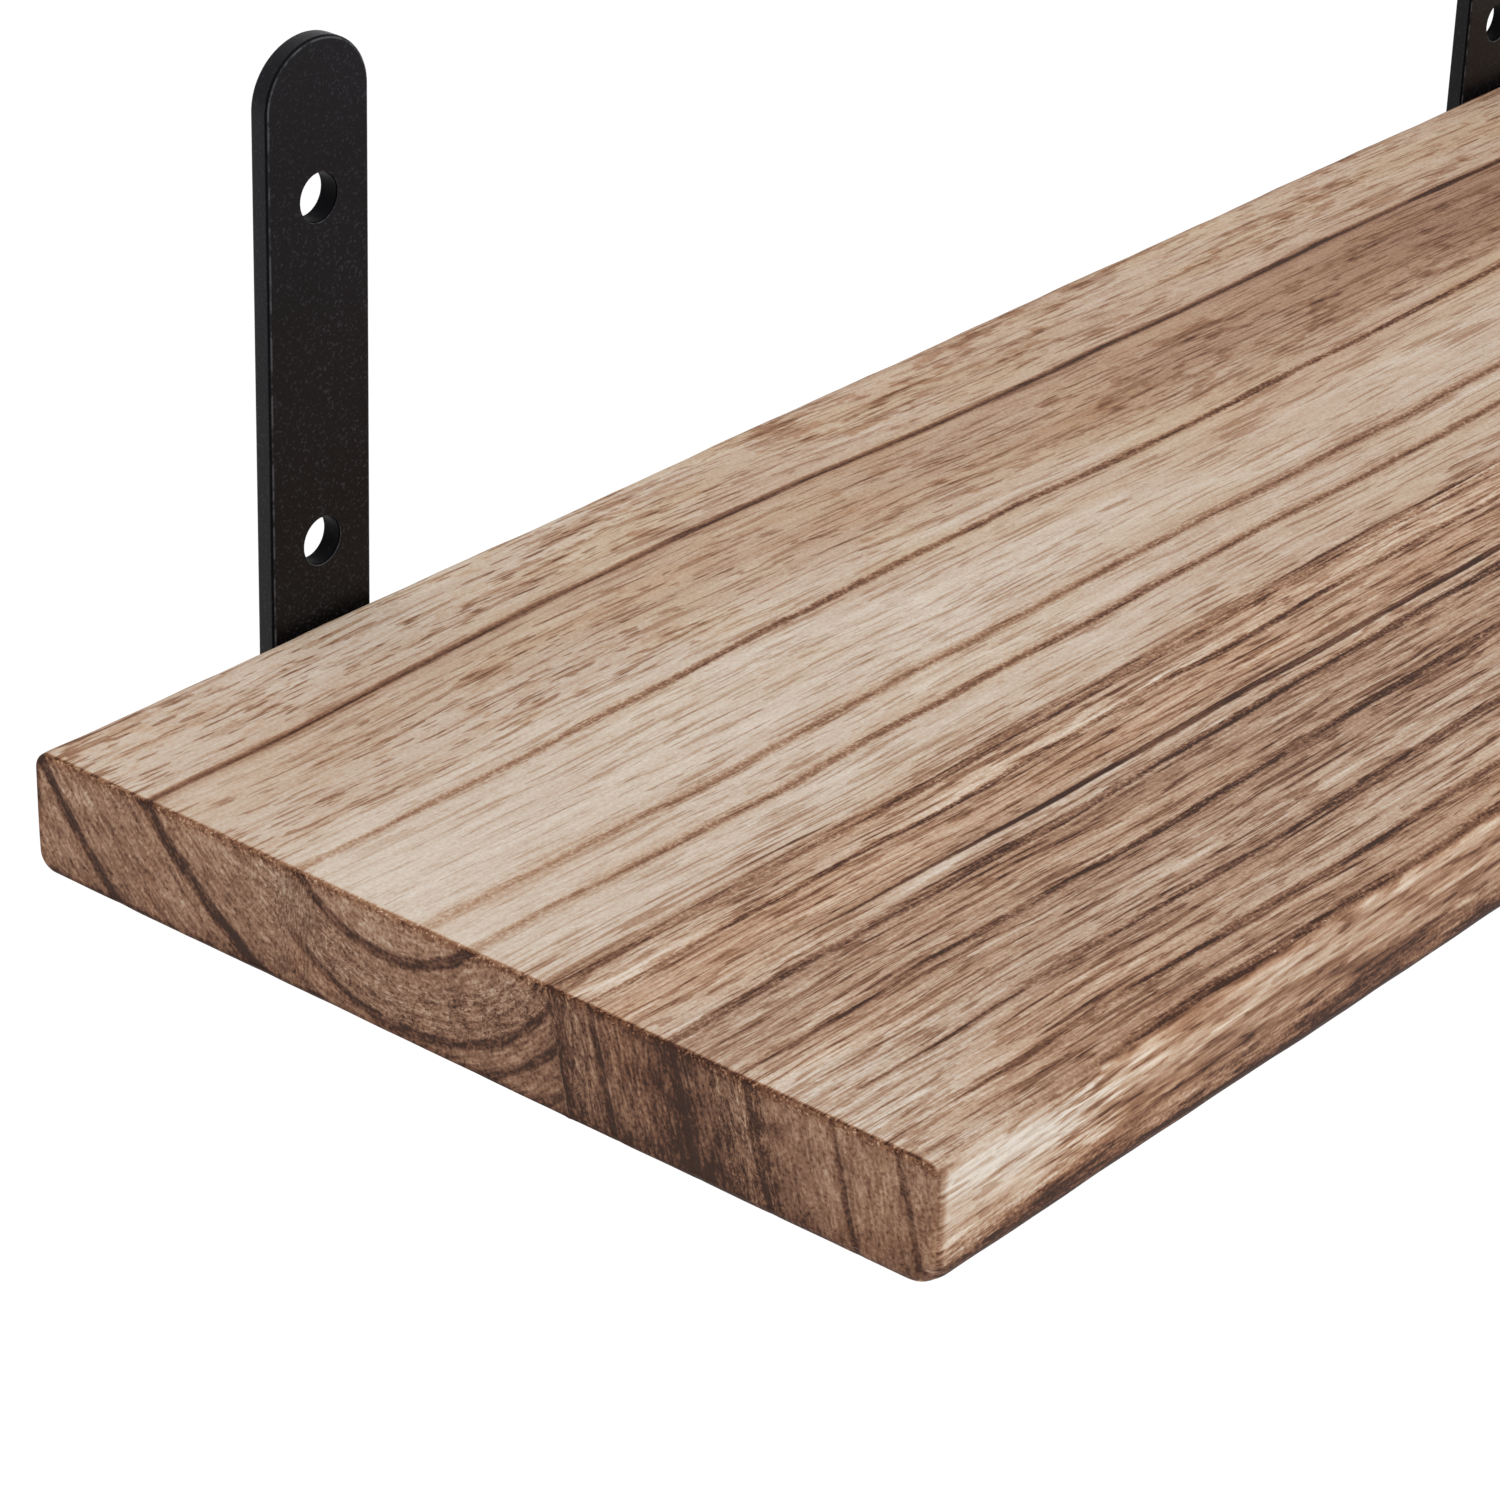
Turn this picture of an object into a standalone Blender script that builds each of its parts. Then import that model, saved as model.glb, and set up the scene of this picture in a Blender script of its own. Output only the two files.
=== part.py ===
"""Wall shelf with brackets: a small solid-wood shelf on two flat-bar L brackets.

The board is edge-glued from two staves along a slanted joint. Each bracket is one
strip of flat bar, rounded at both ends and bent once: the upright lies against the
wall and stands above the board, and the arm runs forward under the board. Two pan
head wood screws per bracket come up through the arm into blind pilot holes in the
staves. Two larger holes in each upright take the wall screws, which aren't part of
the shelf.

Units are metres. X runs along the shelf to the right seen from the room, Y runs into
the wall and Z is up. The origin is on the wall plane, midway between the brackets,
level with the underside of the board.
"""

import math

import bmesh
import bpy
from mathutils import Matrix, Vector

MM = 0.001

# ---------------------------------------------------------------- driving dimensions
GAP = 0.3 * MM  # clearance kept between touching pieces

BOARD_LENGTH = 403.0 * MM
BOARD_DEPTH = 149.7 * MM
BOARD_THICK = 17.5 * MM
BACK_LEAN = 0.7 * MM  # the back face comes forward this much towards the underside
EDGE_TOP_BACK = 2.0 * MM  # hand-eased long edges
EDGE_BOTTOM_BACK = 1.5 * MM
EDGE_TOP_FRONT = 2.4 * MM
EDGE_BOTTOM_FRONT = 3.6 * MM
EDGE_END = 0.8 * MM  # rounding where the ends meet the long faces

GLUE_Y_TOP = 93.2 * MM  # distance of the glue joint in front of the wall, at the top
GLUE_Y_BOTTOM = 97.2 * MM  # and at the underside

BRACKET_SPACING = 295.0 * MM  # centre to centre
STRAP_WIDTH = 19.0 * MM
STRAP_THICK = 3.2 * MM
STRAP_EDGE = 0.5 * MM  # softened edge under the coating
STRAP_END_RISE = 8.6 * MM  # height of the rounded end, a slightly flattened half circle
UPRIGHT_ABOVE_BOARD = 83.8 * MM
ARM_REACH = 127.0 * MM  # wall to the tip of the arm
BEND_INNER_R = 2.5 * MM
BEND_STEPS = 8

WALL_HOLE_D = 7.0 * MM
WALL_HOLE_ABOVE_BOARD = (61.2 * MM, 11.3 * MM)
ARM_HOLE_D = 5.0 * MM
ARM_HOLE_FROM_WALL = (35.0 * MM, 110.0 * MM)  # one screw in each stave

SCREW_D = 4.2 * MM
SCREW_CORE_D = 2.9 * MM
SCREW_LENGTH = 16.0 * MM  # under the head
SCREW_PLAIN = 4.4 * MM  # plain shank under the head
SCREW_POINT = 3.0 * MM
SCREW_PITCH = 2.5 * MM
HEAD_D = 8.2 * MM
HEAD_H = 2.6 * MM
RECESS_SPAN = 4.4 * MM
RECESS_WIDTH = 0.95 * MM
RECESS_DEPTH = 1.7 * MM
PILOT_D = SCREW_D + 2 * GAP

# ---------------------------------------------------------------- derived positions
BOARD_BACK = -(STRAP_THICK + GAP)
BOARD_FRONT = BOARD_BACK - BOARD_DEPTH
ARM_TOP = -GAP
ARM_BOTTOM = ARM_TOP - STRAP_THICK
UPRIGHT_TOP = BOARD_THICK + UPRIGHT_ABOVE_BOARD
HEAD_SEAT = ARM_BOTTOM - GAP
PILOT_TOP = HEAD_SEAT + SCREW_LENGTH + 0.5 * MM
BRACKET_X = {"left": -BRACKET_SPACING / 2, "right": BRACKET_SPACING / 2}


# ---------------------------------------------------------------- scene and helpers
for _object in list(bpy.data.objects):
    bpy.data.objects.remove(_object, do_unlink=True)

shelf = bpy.data.collections.new("wall_shelf")
cutters = bpy.data.collections.new("wall_shelf_cutters")
for _collection in (shelf, cutters):
    bpy.context.scene.collection.children.link(_collection)


def material(name, colour, roughness, metallic):
    mat = bpy.data.materials.new(name)
    mat.use_nodes = True
    shader = mat.node_tree.nodes["Principled BSDF"]
    shader.inputs["Base Color"].default_value = (*colour, 1.0)
    shader.inputs["Roughness"].default_value = roughness
    shader.inputs["Metallic"].default_value = metallic
    mat.diffuse_color = (*colour, 1.0)
    return mat


def place(obj, mat):
    """Links a part, gives it its own material and shades it smooth with sharp edges."""
    shelf.objects.link(obj)
    obj.data.materials.clear()
    obj.data.materials.append(mat)
    obj.data.shade_smooth()
    obj.data.set_sharp_from_angle(angle=math.radians(35))
    return obj


def hide_as_cutter(obj):
    cutters.objects.link(obj)
    obj.hide_render = True
    obj.display_type = "WIRE"
    return obj


def arc(centre, radius, start_deg, end_deg, steps):
    """Points on an arc in the plane, both ends included."""
    points = []
    for i in range(steps + 1):
        a = math.radians(start_deg + (end_deg - start_deg) * i / steps)
        points.append((centre[0] + radius * math.cos(a), centre[1] + radius * math.sin(a)))
    return points


def extruded_outline(name, points, half_depth):
    """A flat outline as a filled 2D curve, extruded both ways, turned into a mesh."""
    curve = bpy.data.curves.new(name, "CURVE")
    curve.dimensions = "2D"
    curve.fill_mode = "BOTH"
    curve.extrude = half_depth
    spline = curve.splines.new("POLY")
    spline.points.add(len(points) - 1)
    for point, (u, v) in zip(spline.points, points):
        point.co = (u, v, 0.0, 1.0)
    spline.use_cyclic_u = True
    temp = bpy.data.objects.new(name + "_curve", curve)
    bpy.context.scene.collection.objects.link(temp)
    bpy.context.view_layer.update()
    graph = bpy.context.evaluated_depsgraph_get()
    mesh = bpy.data.meshes.new_from_object(temp.evaluated_get(graph))
    mesh.name = name
    bpy.data.objects.remove(temp, do_unlink=True)
    bm = bmesh.new()
    bm.from_mesh(mesh)
    bmesh.ops.remove_doubles(bm, verts=bm.verts, dist=1e-6)
    bm.to_mesh(mesh)
    bm.free()
    return mesh


def merge_flat_faces(mesh):
    """Joins the triangles of each flat region into one face."""
    bm = bmesh.new()
    bm.from_mesh(mesh)
    bmesh.ops.dissolve_limit(
        bm, angle_limit=math.radians(0.5), verts=bm.verts, edges=bm.edges
    )
    bmesh.ops.recalc_face_normals(bm, faces=bm.faces)
    bm.to_mesh(mesh)
    bm.free()


def add_bevel(obj, width, segments, angle_deg=40.0):
    mod = obj.modifiers.new("rounded_edges", "BEVEL")
    mod.width = width
    mod.segments = segments
    mod.limit_method = "ANGLE"
    mod.angle_limit = math.radians(angle_deg)
    return mod


def add_cut(obj, cutter, operation="DIFFERENCE"):
    mod = obj.modifiers.new(cutter.name, "BOOLEAN")
    mod.operation = operation
    mod.solver = "EXACT"
    mod.object = cutter
    return mod


def cylinder_cutter(name, radius, start, end, segments):
    """A cylinder between two points on one axis."""
    start, end = Vector(start), Vector(end)
    mesh = bpy.data.meshes.new(name)
    bm = bmesh.new()
    bmesh.ops.create_cone(
        bm,
        cap_ends=True,
        cap_tris=False,
        segments=segments,
        radius1=radius,
        radius2=radius,
        depth=(end - start).length,
    )
    bm.to_mesh(mesh)
    bm.free()
    obj = hide_as_cutter(bpy.data.objects.new(name, mesh))
    obj.location = (start + end) / 2
    obj.rotation_mode = "QUATERNION"
    obj.rotation_quaternion = (end - start).to_track_quat("Z", "Y")
    return obj


# ---------------------------------------------------------------- the board's staves
def board_outline():
    """The board's cross-section as (Y, Z), with its four eased corners."""
    lean = BACK_LEAN / BOARD_THICK
    rt, rb = EDGE_TOP_BACK, EDGE_BOTTOM_BACK
    ft, fb = EDGE_TOP_FRONT, EDGE_BOTTOM_FRONT
    back_low = BOARD_BACK - lean * (BOARD_THICK - rb)
    points = []
    points += arc((BOARD_BACK - rt, BOARD_THICK - rt), rt, 0, 90, 5)
    points += arc((BOARD_FRONT + ft, BOARD_THICK - ft), ft, 90, 180, 6)
    points += arc((BOARD_FRONT + fb, fb), fb, 180, 270, 7)
    points += arc((back_low - rb, rb), rb, 270, 360, 5)
    return points


def board_blank(name):
    """The whole board: the outline runs along X and its end edges are rounded."""
    mesh = extruded_outline(name, board_outline(), BOARD_LENGTH / 2)
    merge_flat_faces(mesh)
    # the outline's plane becomes YZ and its depth becomes X
    mesh.transform(Matrix(((0, 0, 1, 0), (1, 0, 0, 0), (0, 1, 0, 0), (0, 0, 0, 1))))
    return bpy.data.objects.new(name, mesh)


def glue_cutter(name, side):
    """A prism that takes away everything on one side of the slanted glue joint.

    side is +1 for all that lies behind the joint and -1 for all in front of it. Each
    stave stops half the clearance short of the joint's middle.
    """
    slope = math.atan2(GLUE_Y_BOTTOM - GLUE_Y_TOP, BOARD_THICK)
    shift = side * -0.5 * GAP / math.cos(slope)
    reach = 20 * MM
    top = (-GLUE_Y_TOP + shift + math.tan(slope) * reach, BOARD_THICK + reach)
    low = (-GLUE_Y_BOTTOM + shift - math.tan(slope) * reach, -reach)
    far = side * 130 * MM
    outline = [top, low, (low[0] + far, low[1]), (top[0] + far, top[1])]
    mesh = extruded_outline(name, outline, BOARD_LENGTH / 2 + 20 * MM)
    merge_flat_faces(mesh)
    mesh.transform(Matrix(((0, 0, 1, 0), (1, 0, 0, 0), (0, 1, 0, 0), (0, 0, 0, 1))))
    return hide_as_cutter(bpy.data.objects.new(name, mesh))


WOOD_REAR = material("wood_rear_stave", (0.45, 0.29, 0.19), 0.62, 0.0)
WOOD_FRONT = material("wood_front_stave", (0.36, 0.22, 0.14), 0.62, 0.0)

staves = {
    "rear": place(board_blank("shelf_rear_stave"), WOOD_REAR),
    "front": place(board_blank("shelf_front_stave"), WOOD_FRONT),
}
glue_cut = {
    "rear": glue_cutter("cut_in_front_of_joint", -1),
    "front": glue_cutter("cut_behind_joint", 1),
}
for key, stave in staves.items():
    add_bevel(stave, EDGE_END, 3, angle_deg=60.0)
    add_cut(stave, glue_cut[key])


# ---------------------------------------------------------------- the brackets
def strap_path(s):
    """Where the strap's inner face is, s metres from the tip of the arm.

    Returns (Y, Z) of the face that touches the board: along the arm, round the bend
    and up the upright.
    """
    inner_y = -STRAP_THICK
    flat = ARM_REACH - STRAP_THICK - BEND_INNER_R
    bend = BEND_INNER_R * math.pi / 2
    if s <= flat:
        return -ARM_REACH + s, ARM_TOP
    if s <= flat + bend:
        a = (s - flat) / BEND_INNER_R
        return (
            inner_y - BEND_INNER_R + BEND_INNER_R * math.sin(a),
            ARM_TOP + BEND_INNER_R - BEND_INNER_R * math.cos(a),
        )
    return inner_y, ARM_TOP + BEND_INNER_R + (s - flat - bend)


def strap_mesh():
    """The flat strip with its rounded ends, folded along the bend.

    The strip starts flat, as an outline in (X, s). Cuts across the bend give it lines
    to fold on, and then every point moves to its place on the folded path.
    """
    flat = ARM_REACH - STRAP_THICK - BEND_INNER_R
    bend = BEND_INNER_R * math.pi / 2
    total = flat + bend + (UPRIGHT_TOP - ARM_TOP - BEND_INNER_R)
    half = STRAP_WIDTH / 2
    steps = 20

    def end(sign, base):
        points = []
        for i in range(steps + 1):
            a = math.pi * i / steps
            points.append((sign * half * math.cos(a), base + sign * STRAP_END_RISE * math.sin(a)))
        return points

    outline = end(1, total - STRAP_END_RISE) + end(-1, STRAP_END_RISE)
    mesh = extruded_outline("bracket_strap", outline, 0.0)
    bm = bmesh.new()
    bm.from_mesh(mesh)
    for i in range(BEND_STEPS + 1):
        s = flat + bend * i / BEND_STEPS
        bmesh.ops.bisect_plane(
            bm,
            geom=bm.verts[:] + bm.edges[:] + bm.faces[:],
            plane_co=(0, s, 0),
            plane_no=(0, 1, 0),
            dist=1e-7,
        )
    for vert in bm.verts:
        y, z = strap_path(vert.co.y)
        vert.co = (vert.co.x, y, z)
    bmesh.ops.remove_doubles(bm, verts=bm.verts, dist=1e-6)
    bmesh.ops.dissolve_limit(
        bm, angle_limit=math.radians(2), verts=[], edges=bm.edges
    )
    # the open sheet faces the board: up along the arm and forward on the upright
    bm.normal_update()
    arm_face = min(bm.faces, key=lambda f: f.calc_center_median().y)
    if arm_face.normal.z < 0:
        bmesh.ops.reverse_faces(bm, faces=bm.faces)
    bm.to_mesh(mesh)
    bm.free()
    return mesh


def bracket(side, mesh, mat):
    obj = bpy.data.objects.new("bracket_" + side, mesh)
    place(obj, mat)
    obj.location.x = BRACKET_X[side]
    solid = obj.modifiers.new("strap_thickness", "SOLIDIFY")
    solid.thickness = STRAP_THICK
    solid.offset = -1.0
    solid.use_even_offset = True
    solid.use_quality_normals = True
    add_bevel(obj, STRAP_EDGE, 2, angle_deg=45.0)
    x = BRACKET_X[side]
    for label, above in zip(("upper", "lower"), WALL_HOLE_ABOVE_BOARD):
        z = BOARD_THICK + above
        add_cut(
            obj,
            cylinder_cutter(
                f"cut_{side}_{label}_wall_hole", WALL_HOLE_D / 2, (x, -9 * MM, z), (x, 6 * MM, z), 32
            ),
        )
    for label, out in zip(("rear", "front"), ARM_HOLE_FROM_WALL):
        add_cut(
            obj,
            cylinder_cutter(
                f"cut_{side}_{label}_arm_hole", ARM_HOLE_D / 2, (x, -out, -9 * MM), (x, -out, 6 * MM), 24
            ),
        )
    return obj


BLACK = {
    "left": material("powder_coat_left", (0.018, 0.017, 0.019), 0.42, 0.0),
    "right": material("powder_coat_right", (0.018, 0.017, 0.019), 0.42, 0.0),
}
_strap = strap_mesh()
brackets = {side: bracket(side, _strap.copy(), BLACK[side]) for side in ("left", "right")}
bpy.data.meshes.remove(_strap)


# ---------------------------------------------------------------- the wood screws
def screw_profile():
    """Half section at +X, from the top of the head down to the point."""
    r_head, r_shank, r_core = HEAD_D / 2, SCREW_D / 2, SCREW_CORE_D / 2
    crown = []
    for i in range(6):
        a = math.radians(90 * i / 5)
        crown.append((r_head * math.sin(a), HEAD_H * (0.34 + 0.66 * math.cos(a))))
    crown[0] = (0.0, crown[0][1])
    body = [
        (r_head, 0.0),
        (r_shank, 0.0),
        (r_shank, -SCREW_PLAIN),
        (r_core, -SCREW_PLAIN - 0.5 * MM),
        (r_core, -SCREW_LENGTH + SCREW_POINT),
        (r_core * 0.55, -SCREW_LENGTH + 0.35 * SCREW_POINT),
        (0.0, -SCREW_LENGTH),
    ]
    return crown + body


def screw_body(name):
    """Head, shank and point, turned about Z, with the head's crown uppermost."""
    profile = screw_profile()
    mesh = bpy.data.meshes.new(name)
    mesh.from_pydata(
        [(x, 0.0, z) for x, z in profile], [(i, i + 1) for i in range(len(profile) - 1)], []
    )
    obj = bpy.data.objects.new(name, mesh)
    turn = obj.modifiers.new("turned", "SCREW")
    turn.axis = "Z"
    turn.angle = 2 * math.pi
    turn.steps = 20
    turn.render_steps = 20
    turn.use_merge_vertices = True
    turn.merge_threshold = 1e-5
    turn.use_smooth_shade = True
    return obj


def thread_cutter(name):
    """The thread ridge: a helix of diamond section that fades out at both ends."""
    per_turn = 12
    start = -SCREW_PLAIN - 0.9 * MM
    stop = -SCREW_LENGTH + 1.6 * MM
    turns = (start - stop) / SCREW_PITCH
    count = int(round(turns * per_turn)) + 1
    ridge = (SCREW_D - SCREW_CORE_D) / 2
    curve = bpy.data.curves.new(name, "CURVE")
    curve.dimensions = "3D"
    curve.twist_mode = "Z_UP"
    curve.bevel_depth = ridge
    curve.bevel_resolution = 0
    curve.use_fill_caps = True
    spline = curve.splines.new("POLY")
    spline.points.add(count - 1)
    for i, point in enumerate(spline.points):
        t = i / (count - 1)
        a = -2 * math.pi * i / per_turn  # right-hand thread: it turns back as z falls
        z = start + (stop - start) * t
        # the ridge follows the core, which narrows at the point
        fade = min(1.0, t / 0.10, (1.0 - t) / 0.22)
        r = SCREW_CORE_D / 2 - 0.12 * MM
        if z < -SCREW_LENGTH + SCREW_POINT:
            r *= 0.55 + 0.45 * (z + SCREW_LENGTH - 0.35 * SCREW_POINT) / (0.65 * SCREW_POINT)
        point.co = (r * math.cos(a), r * math.sin(a), z, 1.0)
        point.radius = 0.25 + 0.75 * max(0.0, fade)
    temp = bpy.data.objects.new(name + "_curve", curve)
    bpy.context.scene.collection.objects.link(temp)
    bpy.context.view_layer.update()
    graph = bpy.context.evaluated_depsgraph_get()
    mesh = bpy.data.meshes.new_from_object(temp.evaluated_get(graph))
    bpy.data.objects.remove(temp, do_unlink=True)
    bm = bmesh.new()
    bm.from_mesh(mesh)
    bmesh.ops.remove_doubles(bm, verts=bm.verts, dist=1e-6)
    bmesh.ops.recalc_face_normals(bm, faces=bm.faces)
    bm.to_mesh(mesh)
    bm.free()
    return hide_as_cutter(bpy.data.objects.new(name, mesh))


def recess_cutter(name, turned):
    """One wing of the cross recess, a wedge that narrows towards the bottom."""
    mesh = bpy.data.meshes.new(name)
    bm = bmesh.new()
    bmesh.ops.create_cube(bm, size=1.0)
    for vert in bm.verts:
        taper = 1.0 if vert.co.z > 0 else 0.45
        vert.co.x *= RECESS_SPAN * taper
        vert.co.y *= RECESS_WIDTH * (1.0 if vert.co.z > 0 else 0.7)
        vert.co.z *= RECESS_DEPTH + 1.0 * MM
    bm.to_mesh(mesh)
    bm.free()
    obj = hide_as_cutter(bpy.data.objects.new(name, mesh))
    obj.rotation_euler.z = math.pi / 2 if turned else 0.0
    obj.location.z = HEAD_H - RECESS_DEPTH + (RECESS_DEPTH + 1.0 * MM) / 2
    return obj


SCREW_NAMES = []
for side in ("left", "right"):
    for label, out in zip(("rear", "front"), ARM_HOLE_FROM_WALL):
        name = f"{side}_{label}_board_screw"
        SCREW_NAMES.append(name)
        x = BRACKET_X[side]
        holder = bpy.data.objects.new(name + "_place", None)
        cutters.objects.link(holder)
        body = place(screw_body(name), material(name + "_steel", (0.5, 0.5, 0.5), 0.35, 1.0))
        pieces = [
            (thread_cutter(name + "_thread"), "UNION"),
            (recess_cutter(name + "_recess_a", False), "DIFFERENCE"),
            (recess_cutter(name + "_recess_b", True), "DIFFERENCE"),
        ]
        for piece, operation in pieces:
            add_cut(body, piece, operation)
            piece.parent = holder
        body.parent = holder
        # the crown points down and the shank goes up into the board; each screw
        # stopped at its own angle when it was driven
        holder.location = (x, -out, HEAD_SEAT)
        holder.rotation_euler = (math.pi, 0.0, math.radians(17.0 + 31.0 * len(SCREW_NAMES)))
        pilot = cylinder_cutter(
            f"cut_{name}_pilot", PILOT_D / 2, (x, -out, -8 * MM), (x, -out, PILOT_TOP), 20
        )
        add_cut(staves[label], pilot)

bpy.context.view_layer.update()
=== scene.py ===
"""The looks of the wall shelf: detailed staves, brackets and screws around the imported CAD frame.

Lengths in the shape and wood code are millimetres from the board's left, front, lower
corner: a runs along the shelf, b from the front edge towards the wall, c upwards.
"""

import math

import bmesh
import bpy
import numpy as np
from mathutils import Matrix, Vector


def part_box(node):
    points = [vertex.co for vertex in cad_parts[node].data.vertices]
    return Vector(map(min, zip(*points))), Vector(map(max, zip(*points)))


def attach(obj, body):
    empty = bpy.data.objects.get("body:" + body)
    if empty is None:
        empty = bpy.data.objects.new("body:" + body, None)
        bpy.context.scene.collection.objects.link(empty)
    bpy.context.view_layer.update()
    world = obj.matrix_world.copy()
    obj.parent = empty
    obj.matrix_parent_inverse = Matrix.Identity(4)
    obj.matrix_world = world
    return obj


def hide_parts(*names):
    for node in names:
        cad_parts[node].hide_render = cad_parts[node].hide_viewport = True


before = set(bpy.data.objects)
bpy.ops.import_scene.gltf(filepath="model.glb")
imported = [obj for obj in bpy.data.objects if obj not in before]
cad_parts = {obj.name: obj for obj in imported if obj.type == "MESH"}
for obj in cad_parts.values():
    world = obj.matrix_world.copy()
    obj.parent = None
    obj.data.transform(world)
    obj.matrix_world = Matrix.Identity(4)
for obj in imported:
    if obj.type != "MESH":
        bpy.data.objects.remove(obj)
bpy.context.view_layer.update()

MM = 0.001
_rear_lo, _rear_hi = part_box("shelf_rear_stave")
_front_lo, _front_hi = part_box("shelf_front_stave")
LENGTH = (_rear_hi.x - _rear_lo.x) * 1000  # 403
DEPTH = (_rear_hi.y - _front_lo.y) * 1000  # 149.7
THICK = (_rear_hi.z - _rear_lo.z) * 1000  # 17.5
ORIGIN = Vector((_rear_lo.x, _front_lo.y, _rear_lo.z))  # the corner that a, b, c start from

GLUE_TOP, GLUE_LOW = 60.0, 56.0  # the glue joint's b at the top and at the underside
SEAM = 0.03  # half of the hairline left at the glue joint


def smoothstep(v, lo, hi):
    t = np.clip((v - lo) / (hi - lo), 0.0, 1.0)
    return t * t * (3 - 2 * t)


# ================================================================ grain geometry shared by mesh and material
# slow sideways swings of the grain along the shelf: (reach in mm, mm per radian along a, along b, phase)
SWINGS = ((0.30, 26.0, 37.0, 0.4), (0.15, 11.3, 19.0, 2.1), (0.08, 5.1, 9.0, 4.0))
SWELL = (2.6, 98.0, 70.0)  # the rear growth lines bow towards the wall here: height, centre, spread

# growth lines in the top and underside: (b, half width, strength, soft shade in front, soft shade behind)
REAR_LINES = (
    (60.4, 0.62, 0.24, 0.00, 0.03),
    (72.4, 0.66, 0.42, 0.06, 0.05),
    (80.2, 0.64, 0.38, 0.05, 0.07),
    (101.9, 0.48, 0.44, 0.06, 0.03),
    (128.4, 0.62, 0.54, 0.10, 0.02),
    (148.9, 0.60, 0.20, 0.05, 0.05),
)
FRONT_LINES = (
    (1.3, 0.70, 0.24, 0.05, 0.04),
    (7.9, 0.66, 0.25, 0.08, 0.00),
    (17.7, 0.56, 0.25, 0.08, 0.00),
    (30.1, 0.68, 0.26, 0.10, 0.00),
    (40.7, 0.78, 0.30, 0.12, 0.00),
    (53.7, 0.50, 0.30, 0.06, 0.00),
    (59.2, 0.80, 0.22, 0.04, 0.00),
)
# growth rings in the end grain, each set about its own pith above the board: (radius, half width, strength)
REAR_U = ((87.0, 31.6), ((20.4, 0.82, 0.33, 0.03, 0.05),))
REAR_INNER = ((84.0, 31.5), ((24.6, 0.28, 0.08, 0.0, 0.0), (26.8, 0.26, 0.10, 0.0, 0.0), (29.7, 0.72, 0.27, 0.05, 0.04), (33.8, 0.70, 0.24, 0.05, 0.03)))
REAR_OUTER = ((68.5, 71.7), ((77.6, 0.40, 0.05, 0.0, 0.0), (81.6, 1.10, 0.36, 0.05, 0.02), (84.4, 0.30, 0.10, 0.0, 0.0), (90.5, 0.45, 0.06, 0.0, 0.0), (97.0, 0.88, 0.37, 0.03, 0.03)))
FRONT_SLANT = 0.285  # the front stave's rings lean this much
FRONT_END = (
    (6.2, 0.50, 0.22, 0.02, 0.03),
    (16.0, 0.50, 0.26, 0.02, 0.03),
    (29.0, 0.66, 0.22, 0.08, 0.04),
    (40.2, 0.60, 0.22, 0.04, 0.10),
    (53.2, 0.50, 0.24, 0.04, 0.06),
)


def swing(a, b):
    """How far the grain is pushed towards the wall at a, b."""
    out = 0.0
    for reach, ka, kb, phase in SWINGS:
        out = out + reach * np.sin(a / ka + b / kb + phase)
    return out + SWELL[0] * np.exp(-(((a - SWELL[1]) / SWELL[2]) ** 2)) * smoothstep(b, 84.0, 129.0)


def ring_profile(r, rings):
    """Height of the growth lines, 0 to 1, for the shallow real grooves."""
    out = np.zeros_like(r)
    for at, half, strength, _, _ in rings:
        out = np.maximum(out, 2 * strength * np.exp(-(((r - at) / (half * 1.1)) ** 2)))
    return out


def line_groove(a, b, rear):
    return ring_profile(b - swing(a, b), REAR_LINES if rear else FRONT_LINES)


def ring_groove(a, b, c, rear):
    yb = b - swing(a, b)
    if rear:
        out = np.zeros_like(yb)
        for (pith, rings), mask in (
            (REAR_U, np.ones_like(yb)),
            (REAR_INNER, 1 - smoothstep(yb, 97.0, 103.0)),
            (REAR_OUTER, smoothstep(yb, 101.0, 106.0)),
        ):
            out = np.maximum(out, mask * ring_profile(np.hypot(yb - pith[0], c - pith[1]), rings))
        return out
    return ring_profile(yb + FRONT_SLANT * (THICK - c), FRONT_END)


def ripple(a, b, seed):
    """A repeatable gentle unevenness, about -1 to 1."""
    return (
        np.sin(a / 17.0 + 1.7 * seed + b / 31.0) * 0.5
        + np.sin(a / 6.3 + 2.9 * seed - b / 12.0) * 0.3
        + np.sin(a / 2.7 + 4.1 * seed + b / 5.0) * 0.2
    )


# ================================================================ the board's two staves
def corner_arc(cb, cc, rb, rc, start, end, steps):
    out = []
    for i in range(steps + 1):
        t = math.radians(start + (end - start) * i / steps)
        out.append((cb + rb * math.cos(t), cc + rc * math.sin(t)))
    return out


def chain(*parts):
    out = []
    for part in parts:
        for p in part:
            if not out or math.dist(out[-1], p) > 1e-6:
                out.append(p)
    return np.array(out)


def straight(p, q, steps):
    return [(p[0] + (q[0] - p[0]) * i / steps, p[1] + (q[1] - p[1]) * i / steps) for i in range(steps + 1)]


def lift(b):
    """The underside was sanded away a hair towards the front edge."""
    return 0.12 * float(1 - smoothstep(np.float64(b), 3.0, 50.0))


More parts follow.
